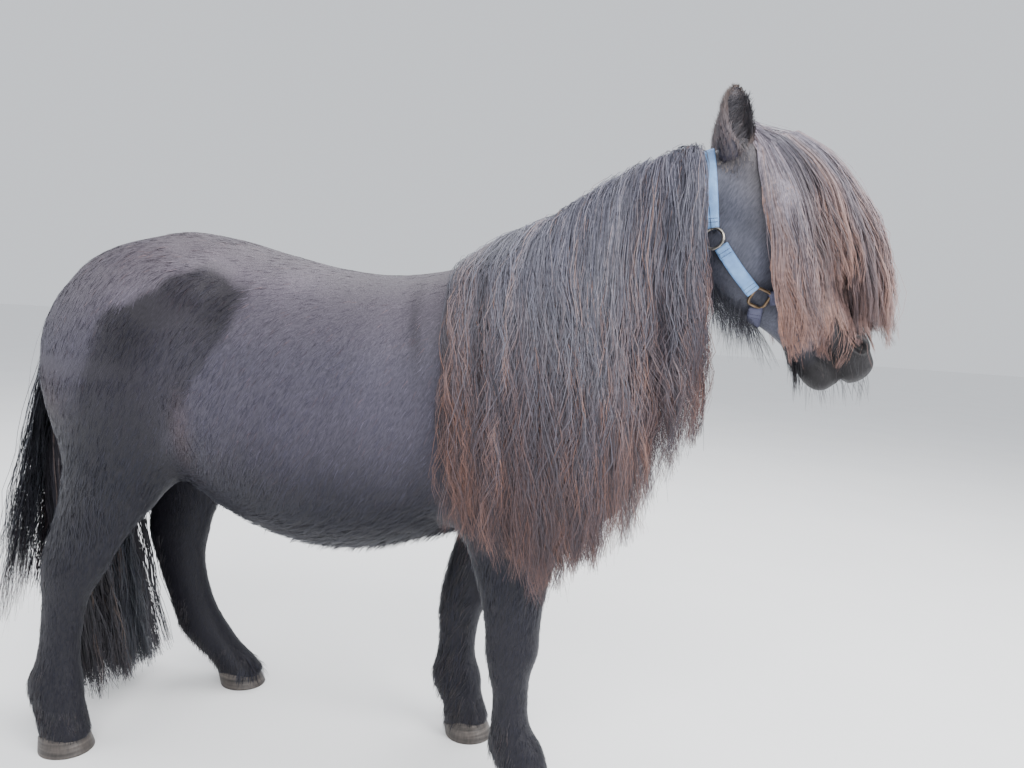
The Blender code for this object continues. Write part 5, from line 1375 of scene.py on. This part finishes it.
def tuft_pieces(name, roots, corners, facing, material, hue=(1.0, 1.0, 1.0)):
    """The tufts joined into pieces, each in the coat's colour at its root, a few of them redder."""
    count = len(roots)
    colours = coat_colour(roots) * hue * rng.lognormal(0, 0.15, (count, 1))
    colours[rng.random(count) < 0.06] *= (1.25, 1.02, 0.90)
    corners[:, :, 2] = np.maximum(corners[:, :, 2], FLOOR_GAP)
    for number, start in enumerate(range(0, count, TUFT_LIMIT), 1):
        part = slice(start, start + TUFT_LIMIT)
        own, out = corners[part], facing[part]
        base = (np.arange(len(own)) * 5)[:, None, None]
        triangles = (base + np.array(((0, 1, 3), (0, 3, 2), (2, 3, 4)))).reshape(-1, 3)
        piece = object_of(f"{name}_{number}", own.reshape(-1, 3), triangles)
        flat = unit(np.cross(own[:, 1] - own[:, 0], own[:, 4] - own[:, 0]))
        flat = flat * np.sign((flat * out).sum(1))[:, None]
        shade_as(piece, np.repeat(out * 0.90 + flat * 0.10, 5, axis=0))
        shade = np.tile((0.90, 0.90, 1.0, 1.0, 1.06), len(own))
        add_colour(piece, "tint", np.repeat(colours[part], 5, axis=0) * shade[:, None])
        uv = unwrap(roots[part])[:, None, :] + np.array(((0, 0), (1, 0), (0, 0.5), (1, 0.5), (0.5, 1))) * PATCH
        add_uv(piece, uv.reshape(-1, 2))
        finish_piece(piece, material, "coat")


def ear_surface(side):
    """A cupped ear as rows of points: outer wall, then inner wall, open towards the front."""
    rows, turns, below, skin_depth = 26, 15, -0.22, 0.0012
    root = np.array(head_point(*EAR_ROOT[:2], side * EAR_ROOT[2]))
    tip = np.array(head_point(*EAR_TIP[:2], side * EAR_TIP[2]))
    axis = unit(tip - root)
    opening = np.array((0.62, side * 0.78, 0.0))
    opening = unit(opening - axis * (opening @ axis))
    across = np.cross(axis, opening)
    share = np.linspace(below, 1.0, rows)
    width, depth, wall, curl = smooth_columns(np.array(EAR_RINGS), np.maximum(share, 0))
    foot = np.interp(share, (below, 0), (0.75, 1))
    points = []
    for k in range(rows):
        middle = root + (tip - root) * share[k] + opening * EAR_BOW * math.sin(math.pi * max(share[k], 0))
        middle[1] *= 1 + 3.0 * min(share[k], 0)
        for inner in (0, 1):
            turn = np.radians(np.linspace(-curl[k], curl[k], turns))[:: -1 if inner else 1, None]
            less = skin_depth + (wall[k] - 2 * skin_depth) * inner
            w, d = (max(size[k] * foot[k] - less, 0.0005) for size in (width, depth))
            points.append(middle + across * w * np.sin(turn) - opening * d * np.cos(turn))
    faces = ring_faces(rows, 2 * turns)
    inner = np.tile(np.repeat((0.0, 1.0), turns), rows)
    faces = np.array(turned_over(faces) if side > 0 else faces)
    return np.concatenate(points), faces, np.repeat(share, 2 * turns), inner, axis


def laid_hairs(name, roots, normals, lie, length, lift, curl, width, tones, hair):
    """Short hairs that lie off the surface at their roots."""
    paths = short_strands(roots, normals, lie, length, lift, 5, curl)
    widths = strand_widths(len(roots), 5, width)
    facing = np.repeat(normals[:, None, :], 5, axis=1)
    hair_piece(name, paths, widths, facing, rng.uniform(*tones, len(roots)), hair)


def ear_foot(name, foot, axis, side, surface_places, hair):
    """Fur round the foot of an ear, lying up along it, so that ear and head are one coat."""
    points, normals = surface_places
    gap = np.linalg.norm(points - foot, axis=1)
    near = np.flatnonzero((gap < 0.038) & (points[:, 1] * side > 0.012))
    count = 1100
    chance = bell(gap[near] / 0.020)
    pick = rng.choice(near, count, p=chance / chance.sum())
    roots = points[pick] + rng.normal(0, 0.0012, (count, 3))
    lie = axis[None, :] + 0.5 * unit(foot + axis * 0.012 - roots) + rng.normal(0, 0.16, (count, 3))
    length = rng.uniform(0.010, 0.020, count) * (1 - gap[pick] / 0.048)
    lift = rng.uniform(0.1, 0.4, count)
    laid_hairs(name, roots, normals[pick], lie, length, lift, 0.0, 0.0010, (0.2, 1.0), hair)


def ear_pieces(skin, coat, hair, surface_places):
    for side, name in SIDES:
        points, faces, share, inner, axis = ear_surface(side)
        piece = object_of("ear_skin_" + name, points, faces)
        add_colour(piece, "tint", toward(COAT * 0.8, inner, INNER_EAR))
        add_uv(piece, np.column_stack([0.05 + (0.25 if side > 0 else 0.0) + inner * 0.1, 0.92 + 0.07 * share]))
        finish_piece(piece, skin, "coat", "ear_" + name)
        normals = point_normals(points, faces)
        outer = inner == 0
        if ((points[outer] - points.mean(0)) * normals[outer]).sum() < 0:
            normals = -normals

        count = 7000
        pick = rng.choice(np.flatnonzero(outer & (share > -0.05)), count)
        roots = points[pick] + rng.normal(0, 0.0012, (count, 3))
        facing = normals[pick]
        way = unit(axis[None, :] + rng.normal(0, 0.22, (count, 3)))
        length = (rng.uniform(0.007, 0.012, count) * np.interp(share[pick], (0.75, 1.0), (1.0, 0.35)))[:, None]
        wide = unit(np.cross(way, facing)) * length * 0.042
        half, tip = roots + (way + facing * 0.22) * length * 0.5, roots + (way + facing * 0.25) * length
        corners = tuft_corners(roots, half, tip, wide, wide)
        tuft_pieces("ear_coat_" + name, roots, corners, facing, coat, (1.30, 1.14, 0.98))
        foot = np.array(head_point(*EAR_ROOT[:2], side * EAR_ROOT[2]))
        ear_foot("ear_foot_" + name, foot, axis, side, surface_places, hair)

        count = 700
        pick = rng.choice(np.flatnonzero((inner == 1) & (share < 0.85) & (share > 0.1)), count)
        lie = axis[None, :] * 0.9 + np.array((0.5, side * 0.25, 0.0)) + rng.normal(0, 0.25, (count, 3))
        length, lift = rng.uniform(0.014, 0.030, count), rng.uniform(0.3, 0.9, count)
        name = "ear_fringe_" + name
        laid_hairs(name, points[pick], normals[pick], lie, length, lift, 0.1, 0.0007, (0, 0.7), hair)


def eye_pieces(material):
    """Smooth balls in place of the eyes, looking outwards and a little ahead."""
    rows, turns, radius = 28, 36, EYE_RADIUS * 0.985
    _, (ax, az), _ = HEAD_FRAME
    ahead = np.array((ax, 0.0, az))
    turn = np.linspace(0, 2 * math.pi, turns, endpoint=False)[:, None]
    for side, name in SIDES:
        centre = np.array(head_point(EYE[0], EYE[1], side * EYE[2]))
        gaze = unit(np.array((0.22, side * 0.97, -0.05)))
        level = unit(ahead - gaze * (ahead @ gaze))
        upward = np.cross(gaze, level)
        rings = [centre + gaze * radius]
        for tilt in math.pi * np.arange(1, rows) / rows:
            ring = centre + gaze * radius * math.cos(tilt)
            rings.append(ring + (level * np.cos(turn) + upward * np.sin(turn)) * radius * math.sin(tilt))
        points = np.vstack([*rings, centre - gaze * radius])
        last = len(points) - 1
        near = [(0, 1 + k, 1 + (k + 1) % turns) for k in range(turns)]
        far = [(last, last - turns + (k + 1) % turns, last - turns + k) for k in range(turns)]
        faces = near + turned_over(ring_faces(rows - 1, turns, first=1)) + far
        piece = capped_object("eye_ball_" + name, points, faces)
        offset = (points - centre) / EYE_RADIUS
        flat = np.hypot((offset @ level) * 0.82, (offset @ upward) * 1.25)
        add_number(piece, "look", np.where(offset @ gaze > 0, flat, 1.0))
        finish_piece(piece, material, "eye", "eye_" + name)


def hoof_pieces(material):
    """Smooth walls with growth rings in place of the hooves; their top slopes down to the heel."""
    rings, around, top_height, slope = 30, 72, 0.044, 0.42 / 0.91
    turn = np.linspace(0, 2 * math.pi, around, endpoint=False)
    for leg, (x, y, length, width, lean) in HOOVES.items():
        along = 0.5 * length * np.cos(turn) * np.where(np.cos(turn) > 0, 1.0, 0.92)
        across = 0.5 * width * np.sin(turn)
        top_x = x - lean + along * 0.80
        top_z = top_height + (top_x - x) * slope - GAP
        walls = []
        for share in np.linspace(0, 1, rings):
            size = (0.985 if share == 0 else 0.994) + 0.004 * math.sin(share * 44.0) * (share > 0.04)
            ring_x = x + along * size + (top_x - x - along) * share
            walls.append(np.column_stack([ring_x, y + across * size * (1 - 0.20 * share), top_z * share]))
        caps = (tuple(reversed(range(around))), tuple(range((rings - 1) * around, rings * around)))
        piece = capped_object("hoof_wall_" + leg, np.concatenate(walls), ring_faces(rings, around), caps)
        finish_piece(piece, material, "horn", "hoof_" + leg)


def soften(line, rounds):
    """Evens out a line in place, its ends held."""
    for _ in range(rounds):
        line[1:-1] = line[1:-1] / 2 + (line[:-2] + line[2:]) / 4


def on_head(distance, seeds, count):
    """A smooth line of count points on the head, through seeds given in the head's frame."""
    seeds = np.array([head_point(*seed) for seed in seeds])
    at = np.concatenate([[0], np.cumsum(np.linalg.norm(np.diff(seeds, axis=0), axis=1))])
    places = np.linspace(0, at[-1], count)
    line = settle(distance, smooth_columns(np.column_stack([at, seeds]), places).T, 6)
    for _ in range(30):
        soften(line, 1)
        line += unit(slope_of(distance, line)) * np.maximum(-distance(line), 0)[:, None]
    return line


# A strap's cross section: place across the band and share of its thickness
STRAP_SHAPE = np.array(
    (
        (-0.5, 0.0),
        (-0.5, 0.6),
        (-0.47, 0.9),
        (-0.30, 1.0),
        (0.0, 1.03),
        (0.30, 1.0),
        (0.47, 0.9),
        (0.5, 0.6),
        (0.5, 0.0),
    )
)


def strap_piece(name, material, seeds, count, node, pinch=1.0):
    """A band of webbing on the head, thicker and pinched where it is folded round a ring."""
    folded, under = 0.0105, 0.0008
    rough = on_head(whole, seeds, count)
    up = unit(slope_of(whole, rough))
    soften(up, 12)
    fine = count * 6
    line = evened(rough[None], fine)[0]
    soften(line, 6)
    share = np.linspace(0, 1, fine)
    up = np.column_stack([np.interp(share, np.linspace(0, 1, count), up[:, k]) for k in range(3)])
    run = unit(np.gradient(line, axis=0))
    across = unit(np.cross(run, up))
    up = np.cross(across, run)
    length = np.linalg.norm(np.diff(line, axis=0), axis=1).sum()
    from_end = np.minimum(share, 1 - share) * length
    over = np.interp(from_end, (0, 0.004, 0.0185, 0.0195), (folded * 0.5, folded, folded, STRAP_THICK * 0.92))
    wide = np.interp(from_end, (0, STRAP_FOLD, 2 * STRAP_FOLD), (pinch, pinch, 1.0)) * STRAP_WIDTH * 0.97
    place, height = STRAP_SHAPE.T[:, None, :, None]
    points = line[:, None] + across[:, None] * wide[:, None, None] * place
    points = points + up[:, None] * (under + (over[:, None, None] - under) * height)
    n = len(STRAP_SHAPE)
    caps = (tuple(range(n - 1, -1, -1)), tuple(range((fine - 1) * n, fine * n)))
    piece = capped_object(name, points.reshape(-1, 3), ring_faces(fine, n), caps)
    add_number(piece, "across", np.tile(STRAP_SHAPE[:, 0] + 0.5, fine))
    add_number(piece, "run", np.repeat(share * length, n))
    finish_piece(piece, material, "webbing", node)
    return line, up, across, over


def stitches(name, line, up, across, over, material):
    """Two rows of thread over each fold of a strap."""
    far = np.concatenate([[0], np.cumsum(np.linalg.norm(np.diff(line, axis=0), axis=1))])
    points, faces = [], []
    for at in (0.010, 0.016, far[-1] - 0.010, far[-1] - 0.016):
        k = int(np.clip(np.searchsorted(far, at), 1, len(far) - 2))
        wide, long = across[k] * 0.0011, unit(line[k + 1] - line[k - 1]) * 0.00045
        for place in np.linspace(-0.36, 0.36, 7):
            middle = line[k] + across[k] * STRAP_WIDTH * place + up[k] * (over[k] + 0.0002)
            base = len(points)
            for a, b, lift in ((1, 1, 0), (0.7, 0.4, 0.0006)):
                for i, j in ((-1, -1), (1, -1), (1, 1), (-1, 1)):
                    points.append(middle + wide * a * i + long * b * j + up[k] * lift)
            for quad in ((4, 5, 6, 7), (0, 1, 5, 4), (1, 2, 6, 5), (2, 3, 7, 6), (3, 0, 4, 7)):
                faces.append([base + q for q in quad])
    finish_piece(object_of(name, points, faces), material, "webbing")


def ring_piece(name, centre, radius, square, material, node):
    """A ring of round wire on its strap's end; the higher square is, the squarer the ring."""
    sectors, sides, wire = 72, 16, 0.0026
    middle = settle(whole, np.array([head_point(*centre)]), 6)
    up = unit(slope_of(whole, middle)[0])
    middle = middle[0] + up * RING_HEIGHT
    first = unit(np.cross(up, np.array((0.35, 0.0, 0.94))))
    second = np.cross(up, first)
    turn = np.linspace(0, 2 * math.pi, sectors, endpoint=False)[:, None, None]
    out = first * np.cos(turn) + second * np.sin(turn)
    reach = radius / (np.abs(np.cos(turn)) ** square + np.abs(np.sin(turn)) ** square) ** (1 / square)
    turn = np.linspace(0, 2 * math.pi, sides, endpoint=False)[None, :, None]
    points = middle + out * reach + (out * np.cos(turn) + up * np.sin(turn)) * wire
    piece = object_of(name, points.reshape(-1, 3), ring_faces(sectors, sides, closed=True))
    finish_piece(piece, material, "ring", node)


def turned(seed, side):
    return (seed[0], seed[1], abs(seed[2]) * side)


def halter_pieces():
    blue = webbing_material("webbing_blue", (0.250, 0.430, 0.740), (0.090, 0.175, 0.340), (0.110, 0.210, 0.400))
    grey = webbing_material("webbing_grey", (0.120, 0.125, 0.190), (0.045, 0.048, 0.085), (0.040, 0.042, 0.072))
    thread, tree = shader("thread", 0.7, 0.2)
    stops = ((0.3, (0.020, 0.024, 0.045)), (0.7, (0.045, 0.050, 0.085)))
    coloured(tree, ramp_of(tree, noise_of(tree, 700.0), stops))
    steel = metal_material("ring_steel", (0.40, 0.37, 0.33), 0.36)
    brass = metal_material("link_brass", (0.24, 0.17, 0.11), 0.48)
    for name, seeds, count, material, pinch in (
        ("crown", CROWN_STRAP, 20, blue, 1.0),
        ("throat", THROAT_STRAP, 16, blue, 0.5),
        ("nose", NOSE_STRAP, 17, grey, 1.0),
        ("chin", CHIN_STRAP, 13, grey, 1.0),
    ):
        line = [*seeds, *(turned(seed, 1) for seed in reversed(seeds) if seed[2])]
        made = strap_piece("strap_" + name, material, line, count, "halter_" + name, pinch)
        if pinch == 1.0:
            stitches("stitch_" + name, *made, thread)
    for side, name in SIDES:
        seeds = [turned(seed, side) for seed in CHEEK_STRAP]
        made = strap_piece("strap_cheek_" + name, blue, seeds, 8, "halter_cheek_" + name)
        stitches("stitch_cheek_" + name, *made, thread)
        ring_piece("round_ring_" + name, turned(HIGH_RING, side), 0.0165, 2.0, steel, "halter_ring_" + name)
        ring_piece("square_link_" + name, turned(LOW_RING, side), 0.0150, 4.5, brass, "halter_link_" + name)


# Long hair: colours by the strand's tone, the same for its tips, and where along it the tips begin
BROWN_TIPS = (
    (0.0, (0.016, 0.012, 0.015)),
    (0.40, (0.042, 0.028, 0.032)),
    (0.65, (0.078, 0.044, 0.041)),
    (1.0, (0.175, 0.086, 0.062)),
)
MANE_TONES = (
    (0.0, (0.026, 0.025, 0.035)),
    (0.35, (0.056, 0.056, 0.074)),
    (0.7, (0.106, 0.106, 0.136)),
    (0.88, (0.140, 0.128, 0.150)),
    (1.0, (0.190, 0.122, 0.105)),
)
FORELOCK_TONES = (
    (0.0, (0.060, 0.054, 0.066)),
    (0.4, (0.120, 0.106, 0.125)),
    (0.75, (0.150, 0.130, 0.148)),
    (1.0, (0.210, 0.155, 0.150)),
)
FORELOCK_TIPS = ((0.0, (0.056, 0.033, 0.033)), (0.40, (0.130, 0.074, 0.063)), (1.0, (0.290, 0.155, 0.115)))
TAIL_TONES = (
    (0.0, (0.012, 0.011, 0.014)),
    (0.5, (0.026, 0.025, 0.031)),
    (0.88, (0.048, 0.043, 0.050)),
    (0.97, (0.090, 0.060, 0.044)),
)
FRINGE_TONES = ((0.0, (0.007, 0.007, 0.009)), (0.6, (0.014, 0.013, 0.016)), (1.0, (0.034, 0.029, 0.033)))
FRINGE_TIPS = ((0.0, (0.008, 0.007, 0.009)), (0.7, (0.018, 0.015, 0.017)), (1.0, (0.060, 0.036, 0.030)))
FACE_TONES = ((0.0, (0.030, 0.028, 0.034)), (0.6, (0.062, 0.058, 0.066)), (1.0, (0.120, 0.104, 0.100)))
# lighter and bluer than the fringe: partly the beard's own grey, partly painted light shining through it from behind
BEARD_TONES = ((0.0, (0.018, 0.018, 0.024)), (0.6, (0.045, 0.046, 0.060)), (1.0, (0.090, 0.088, 0.104)))
HAIR_PART = 1.0


def grown_piece(name, grown, material, width, field, twist=0.3, aside=0.0):
    paths, tone, early = grown
    widths = strand_widths(len(paths), paths.shape[1], width)
    facing = outward_of(paths, field, twist, aside)
    shading = outward_of(paths, field, 0.18, aside * 0.35)
    hair_piece(name, paths, widths, facing, tone, material, early, shading)


def long_hair(body, face):
    mane = hair_material("mane_hair", MANE_TONES, BROWN_TIPS, 0.38)
    forelock = hair_material("forelock_hair", FORELOCK_TONES, FORELOCK_TIPS, 0.25)
    tail = hair_material("tail_hair", TAIL_TONES, BROWN_TIPS, 0.85)
    right, left, fore, rear = (int(count * HAIR_PART) for count in (9400, 2600, 6800, 4500))
    grown_piece("mane_right", mane_strands(-1, right, MANE_ENDS, body, 20), mane, 0.0010, body)
    grown_piece("mane_left", mane_strands(1, left, MANE_ENDS_LEFT, body, 16), mane, 0.0015, body)
    grown_piece("forelock", forelock_strands(fore, face), forelock, 0.0011, face, 0.25, 1.0)
    grown_piece("tail_hair", tail_strands(rear, body), tail, 0.0019, body, 0.3, 0.7)


def behind_legs(p, wide, ahead):
    """Whether a place is within wide of a leg's middle and no further ahead than that past it."""
    found = np.zeros(len(p), bool)
    for rows in LEGS.values():
        middle, across = leg_axis(rows, p[:, 2])
        near = (np.abs(p[:, 0] - middle) < 0.09) & (np.abs(p[:, 1] - across) < wide)
        found |= near & (p[:, 0] < middle + ahead)
    return found


def fringes(points, quads, normals, body):
    """Longer hair under the jaw, along the belly, behind the legs and over the hooves, and whiskers."""
    steps = 7
    fringe = hair_material("fringe_hair", FRINGE_TONES, FRINGE_TIPS, 0.6)
    bearded = hair_material("beard_hair", BEARD_TONES, BEARD_TONES, 0.6)
    p = middles(points, quads)
    x, y, z = p.T
    (along, up), aside, head = head_places(p), np.abs(y), head_share(p)
    jaw = (x > 0.66) & (aside < 0.045) & (up < -0.10) & (along > 0.13) & (along < 0.30)
    chin = (aside < 0.022) * (up < -0.055) * (along > 0.33) * (along < 0.375) * head
    lips = (along > 0.345) * (up < 0.02) * head
    belly = (aside < 0.11) & (z < 0.50) & (np.abs(x - 0.02) < 0.26)
    heel = behind_legs(p, 0.07, 0.004) & (z < 0.19) & (z > 0.05)
    crown = (z < 0.085) & (z > 0.040)
    cannon = behind_legs(p, 0.05, -0.012) & (z < 0.34) & (z > 0.15)
    # name, count, where it grows, length, way it lies, lift off the coat, droop and width
    for name, count, place, length, lie, lift, curl, width in (
        ("beard", 1150, jaw, (0.014, 0.080), (-0.12, 0.0, -1.0), (0.0, 0.5), 0.5, 0.00045),
        ("chin_tuft", 190, chin, (0.016, 0.044), (-0.10, 0.0, -1.0), (0.0, 0.4), 0.6, 0.0005),
        ("whiskers", 260, lips, (0.007, 0.034), (0.25, 0.0, -0.8), (0.5, 1.4), 0.6, 0.0004),
        ("belly_fringe", 2600, belly, (0.016, 0.030), (-0.6, 0.0, -1.0), (0.0, 0.3), 0.3, 0.0010),
        ("feather", 4200, heel, (0.009, 0.021), (-0.15, 0.0, -1.0), (0.0, 0.25), 0.4, 0.0008),
        ("coronet_hair", 2600, crown, (0.007, 0.014), (0.10, 0.0, -1.0), (0.0, 0.2), 0.3, 0.0008),
        ("cannon_fringe", 1600, cannon, (0.010, 0.018), (-0.2, 0.0, -1.0), (0.0, 0.25), 0.4, 0.0008),
    ):
        count = int(count * HAIR_PART)
        roots, facing = scattered(points, quads, normals, count, place + 1e-9)
        lie = np.array(lie) + rng.normal(0, 0.16, (count, 3))
        length, lift = rng.uniform(*length, count), rng.uniform(*lift, count)
        paths = short_strands(roots, facing, lie, length, lift, steps, curl)
        lead = paths[leaders_of(roots, max(count // 9, 4))]
        share = np.linspace(0, 1, steps)[None, :, None] * (0.6 if name in ("beard", "chin_tuft") else 0.35)
        paths = paths * (1 - share) + (lead + rng.normal(0, 0.0015, (count, 1, 3))) * share
        paths[:, :, 2] = np.maximum(paths[:, :, 2], 0.004)
        widths = strand_widths(count, steps, width)
        facing = outward_of(paths, body, 0.6)
        hair_piece(name, paths, widths, facing, rng.uniform(0, 1, count), bearded if name == "beard" else fringe)


def floor_and_light():
    scene = bpy.context.scene
    world = bpy.data.worlds.new("pale")
    world.use_nodes = True
    sky = world.node_tree.nodes["Background"]
    sky.inputs["Color"].default_value = (0.80, 0.83, 0.88, 1.0)
    sky.inputs["Strength"].default_value = 1.10
    scene.world = world
    mesh = bpy.data.meshes.new("floor")
    mesh.from_pydata([(-30, -30, 0), (30, -30, 0), (30, 30, 0), (-30, 30, 0)], [], [(0, 1, 2, 3)])
    floor = linked_object("floor", mesh)
    material, tree = shader("floor", 0.85, 0.1)
    stops = ((0.3, (0.88, 0.883, 0.888)), (0.7, (0.91, 0.912, 0.915)))
    coloured(tree, ramp_of(tree, noise_of(tree, 2.0, 4.0), stops))
    mesh.materials.append(material)
    for name, place, aim, size, power in (
        ("key", (1.2, -3.2, 3.6), (0.1, 0.0, 0.6), 3.0, 215.0),
        ("fill", (-3.4, -1.8, 2.4), (0.0, 0.0, 0.5), 3.5, 90.0),
        ("top", (0.0, 1.6, 4.2), (0.0, 0.0, 0.6), 3.5, 150.0),
        ("front", (3.6, -1.2, 2.4), (0.6, 0.0, 0.9), 2.5, 210.0),
    ):
        light = bpy.data.lights.new(name, "AREA")
        light.energy = power
        light.size = size
        lamp = linked_object(name, light)
        lamp.location = place
        lamp.rotation_euler = (Vector(aim) - Vector(place)).to_track_quat("-Z", "Y").to_euler()


def photo_camera():
    """The camera as the photograph's, found from the pony's own size."""
    pitch, roll, pan = math.radians(4.94), math.radians(3.85), math.radians(10.8)
    focal_pixels, picture_width, sensor = 740, 1024, 36.0
    ahead = Vector((0.0, math.cos(pitch), -math.sin(pitch)))
    flat = Vector((1.0, 0.0, 0.0))
    above = flat.cross(ahead)
    right = math.cos(roll) * flat + math.sin(roll) * above
    above = -math.sin(roll) * flat + math.cos(roll) * above
    matrix = Matrix.Rotation(pan, 4, "Z") @ Matrix((right, above, -ahead)).transposed().to_4x4()
    data = bpy.data.cameras.new("photo")
    data.sensor_width = sensor
    data.lens = focal_pixels / picture_width * sensor
    camera = linked_object("photo", data)
    matrix.translation = Vector((0.596, -1.314, 0.862)) + Vector(SHIFT)
    camera.matrix_world = matrix
    bpy.context.scene.camera = camera


def build():
    body = sampled(clear_of_all, (-0.78, -0.34, -0.05), (0.72, 0.34, 1.27), 0.012)
    face = sampled(clear_of_head, (0.58, -0.16, 0.68), (1.02, 0.16, 1.29), 0.005)
    points, quads = skin_surface()
    normals = point_normals(points, quads)
    skin, coat = skin_material(), coat_material()
    piece = object_of("skin", points, quads)
    add_colour(piece, "tint", coat_colour(points) * 0.92)
    add_uv(piece, unwrap(points))
    finish_piece(piece, skin, "coat", "torso", "neck", "head", "tail", *LEGS)
    tuft_pieces("coat", *coat_tufts(points, quads, normals, 168000), coat)
    long_hair(body, face)
    fringes(points, quads, normals, body)
    ear_pieces(skin, coat, hair_material("face_hair", FACE_TONES, FACE_TONES, 0.6), (points, normals))
    eye_pieces(eye_material())
    hoof_pieces(horn_material())
    halter_pieces()


build()
floor_and_light()
photo_camera()
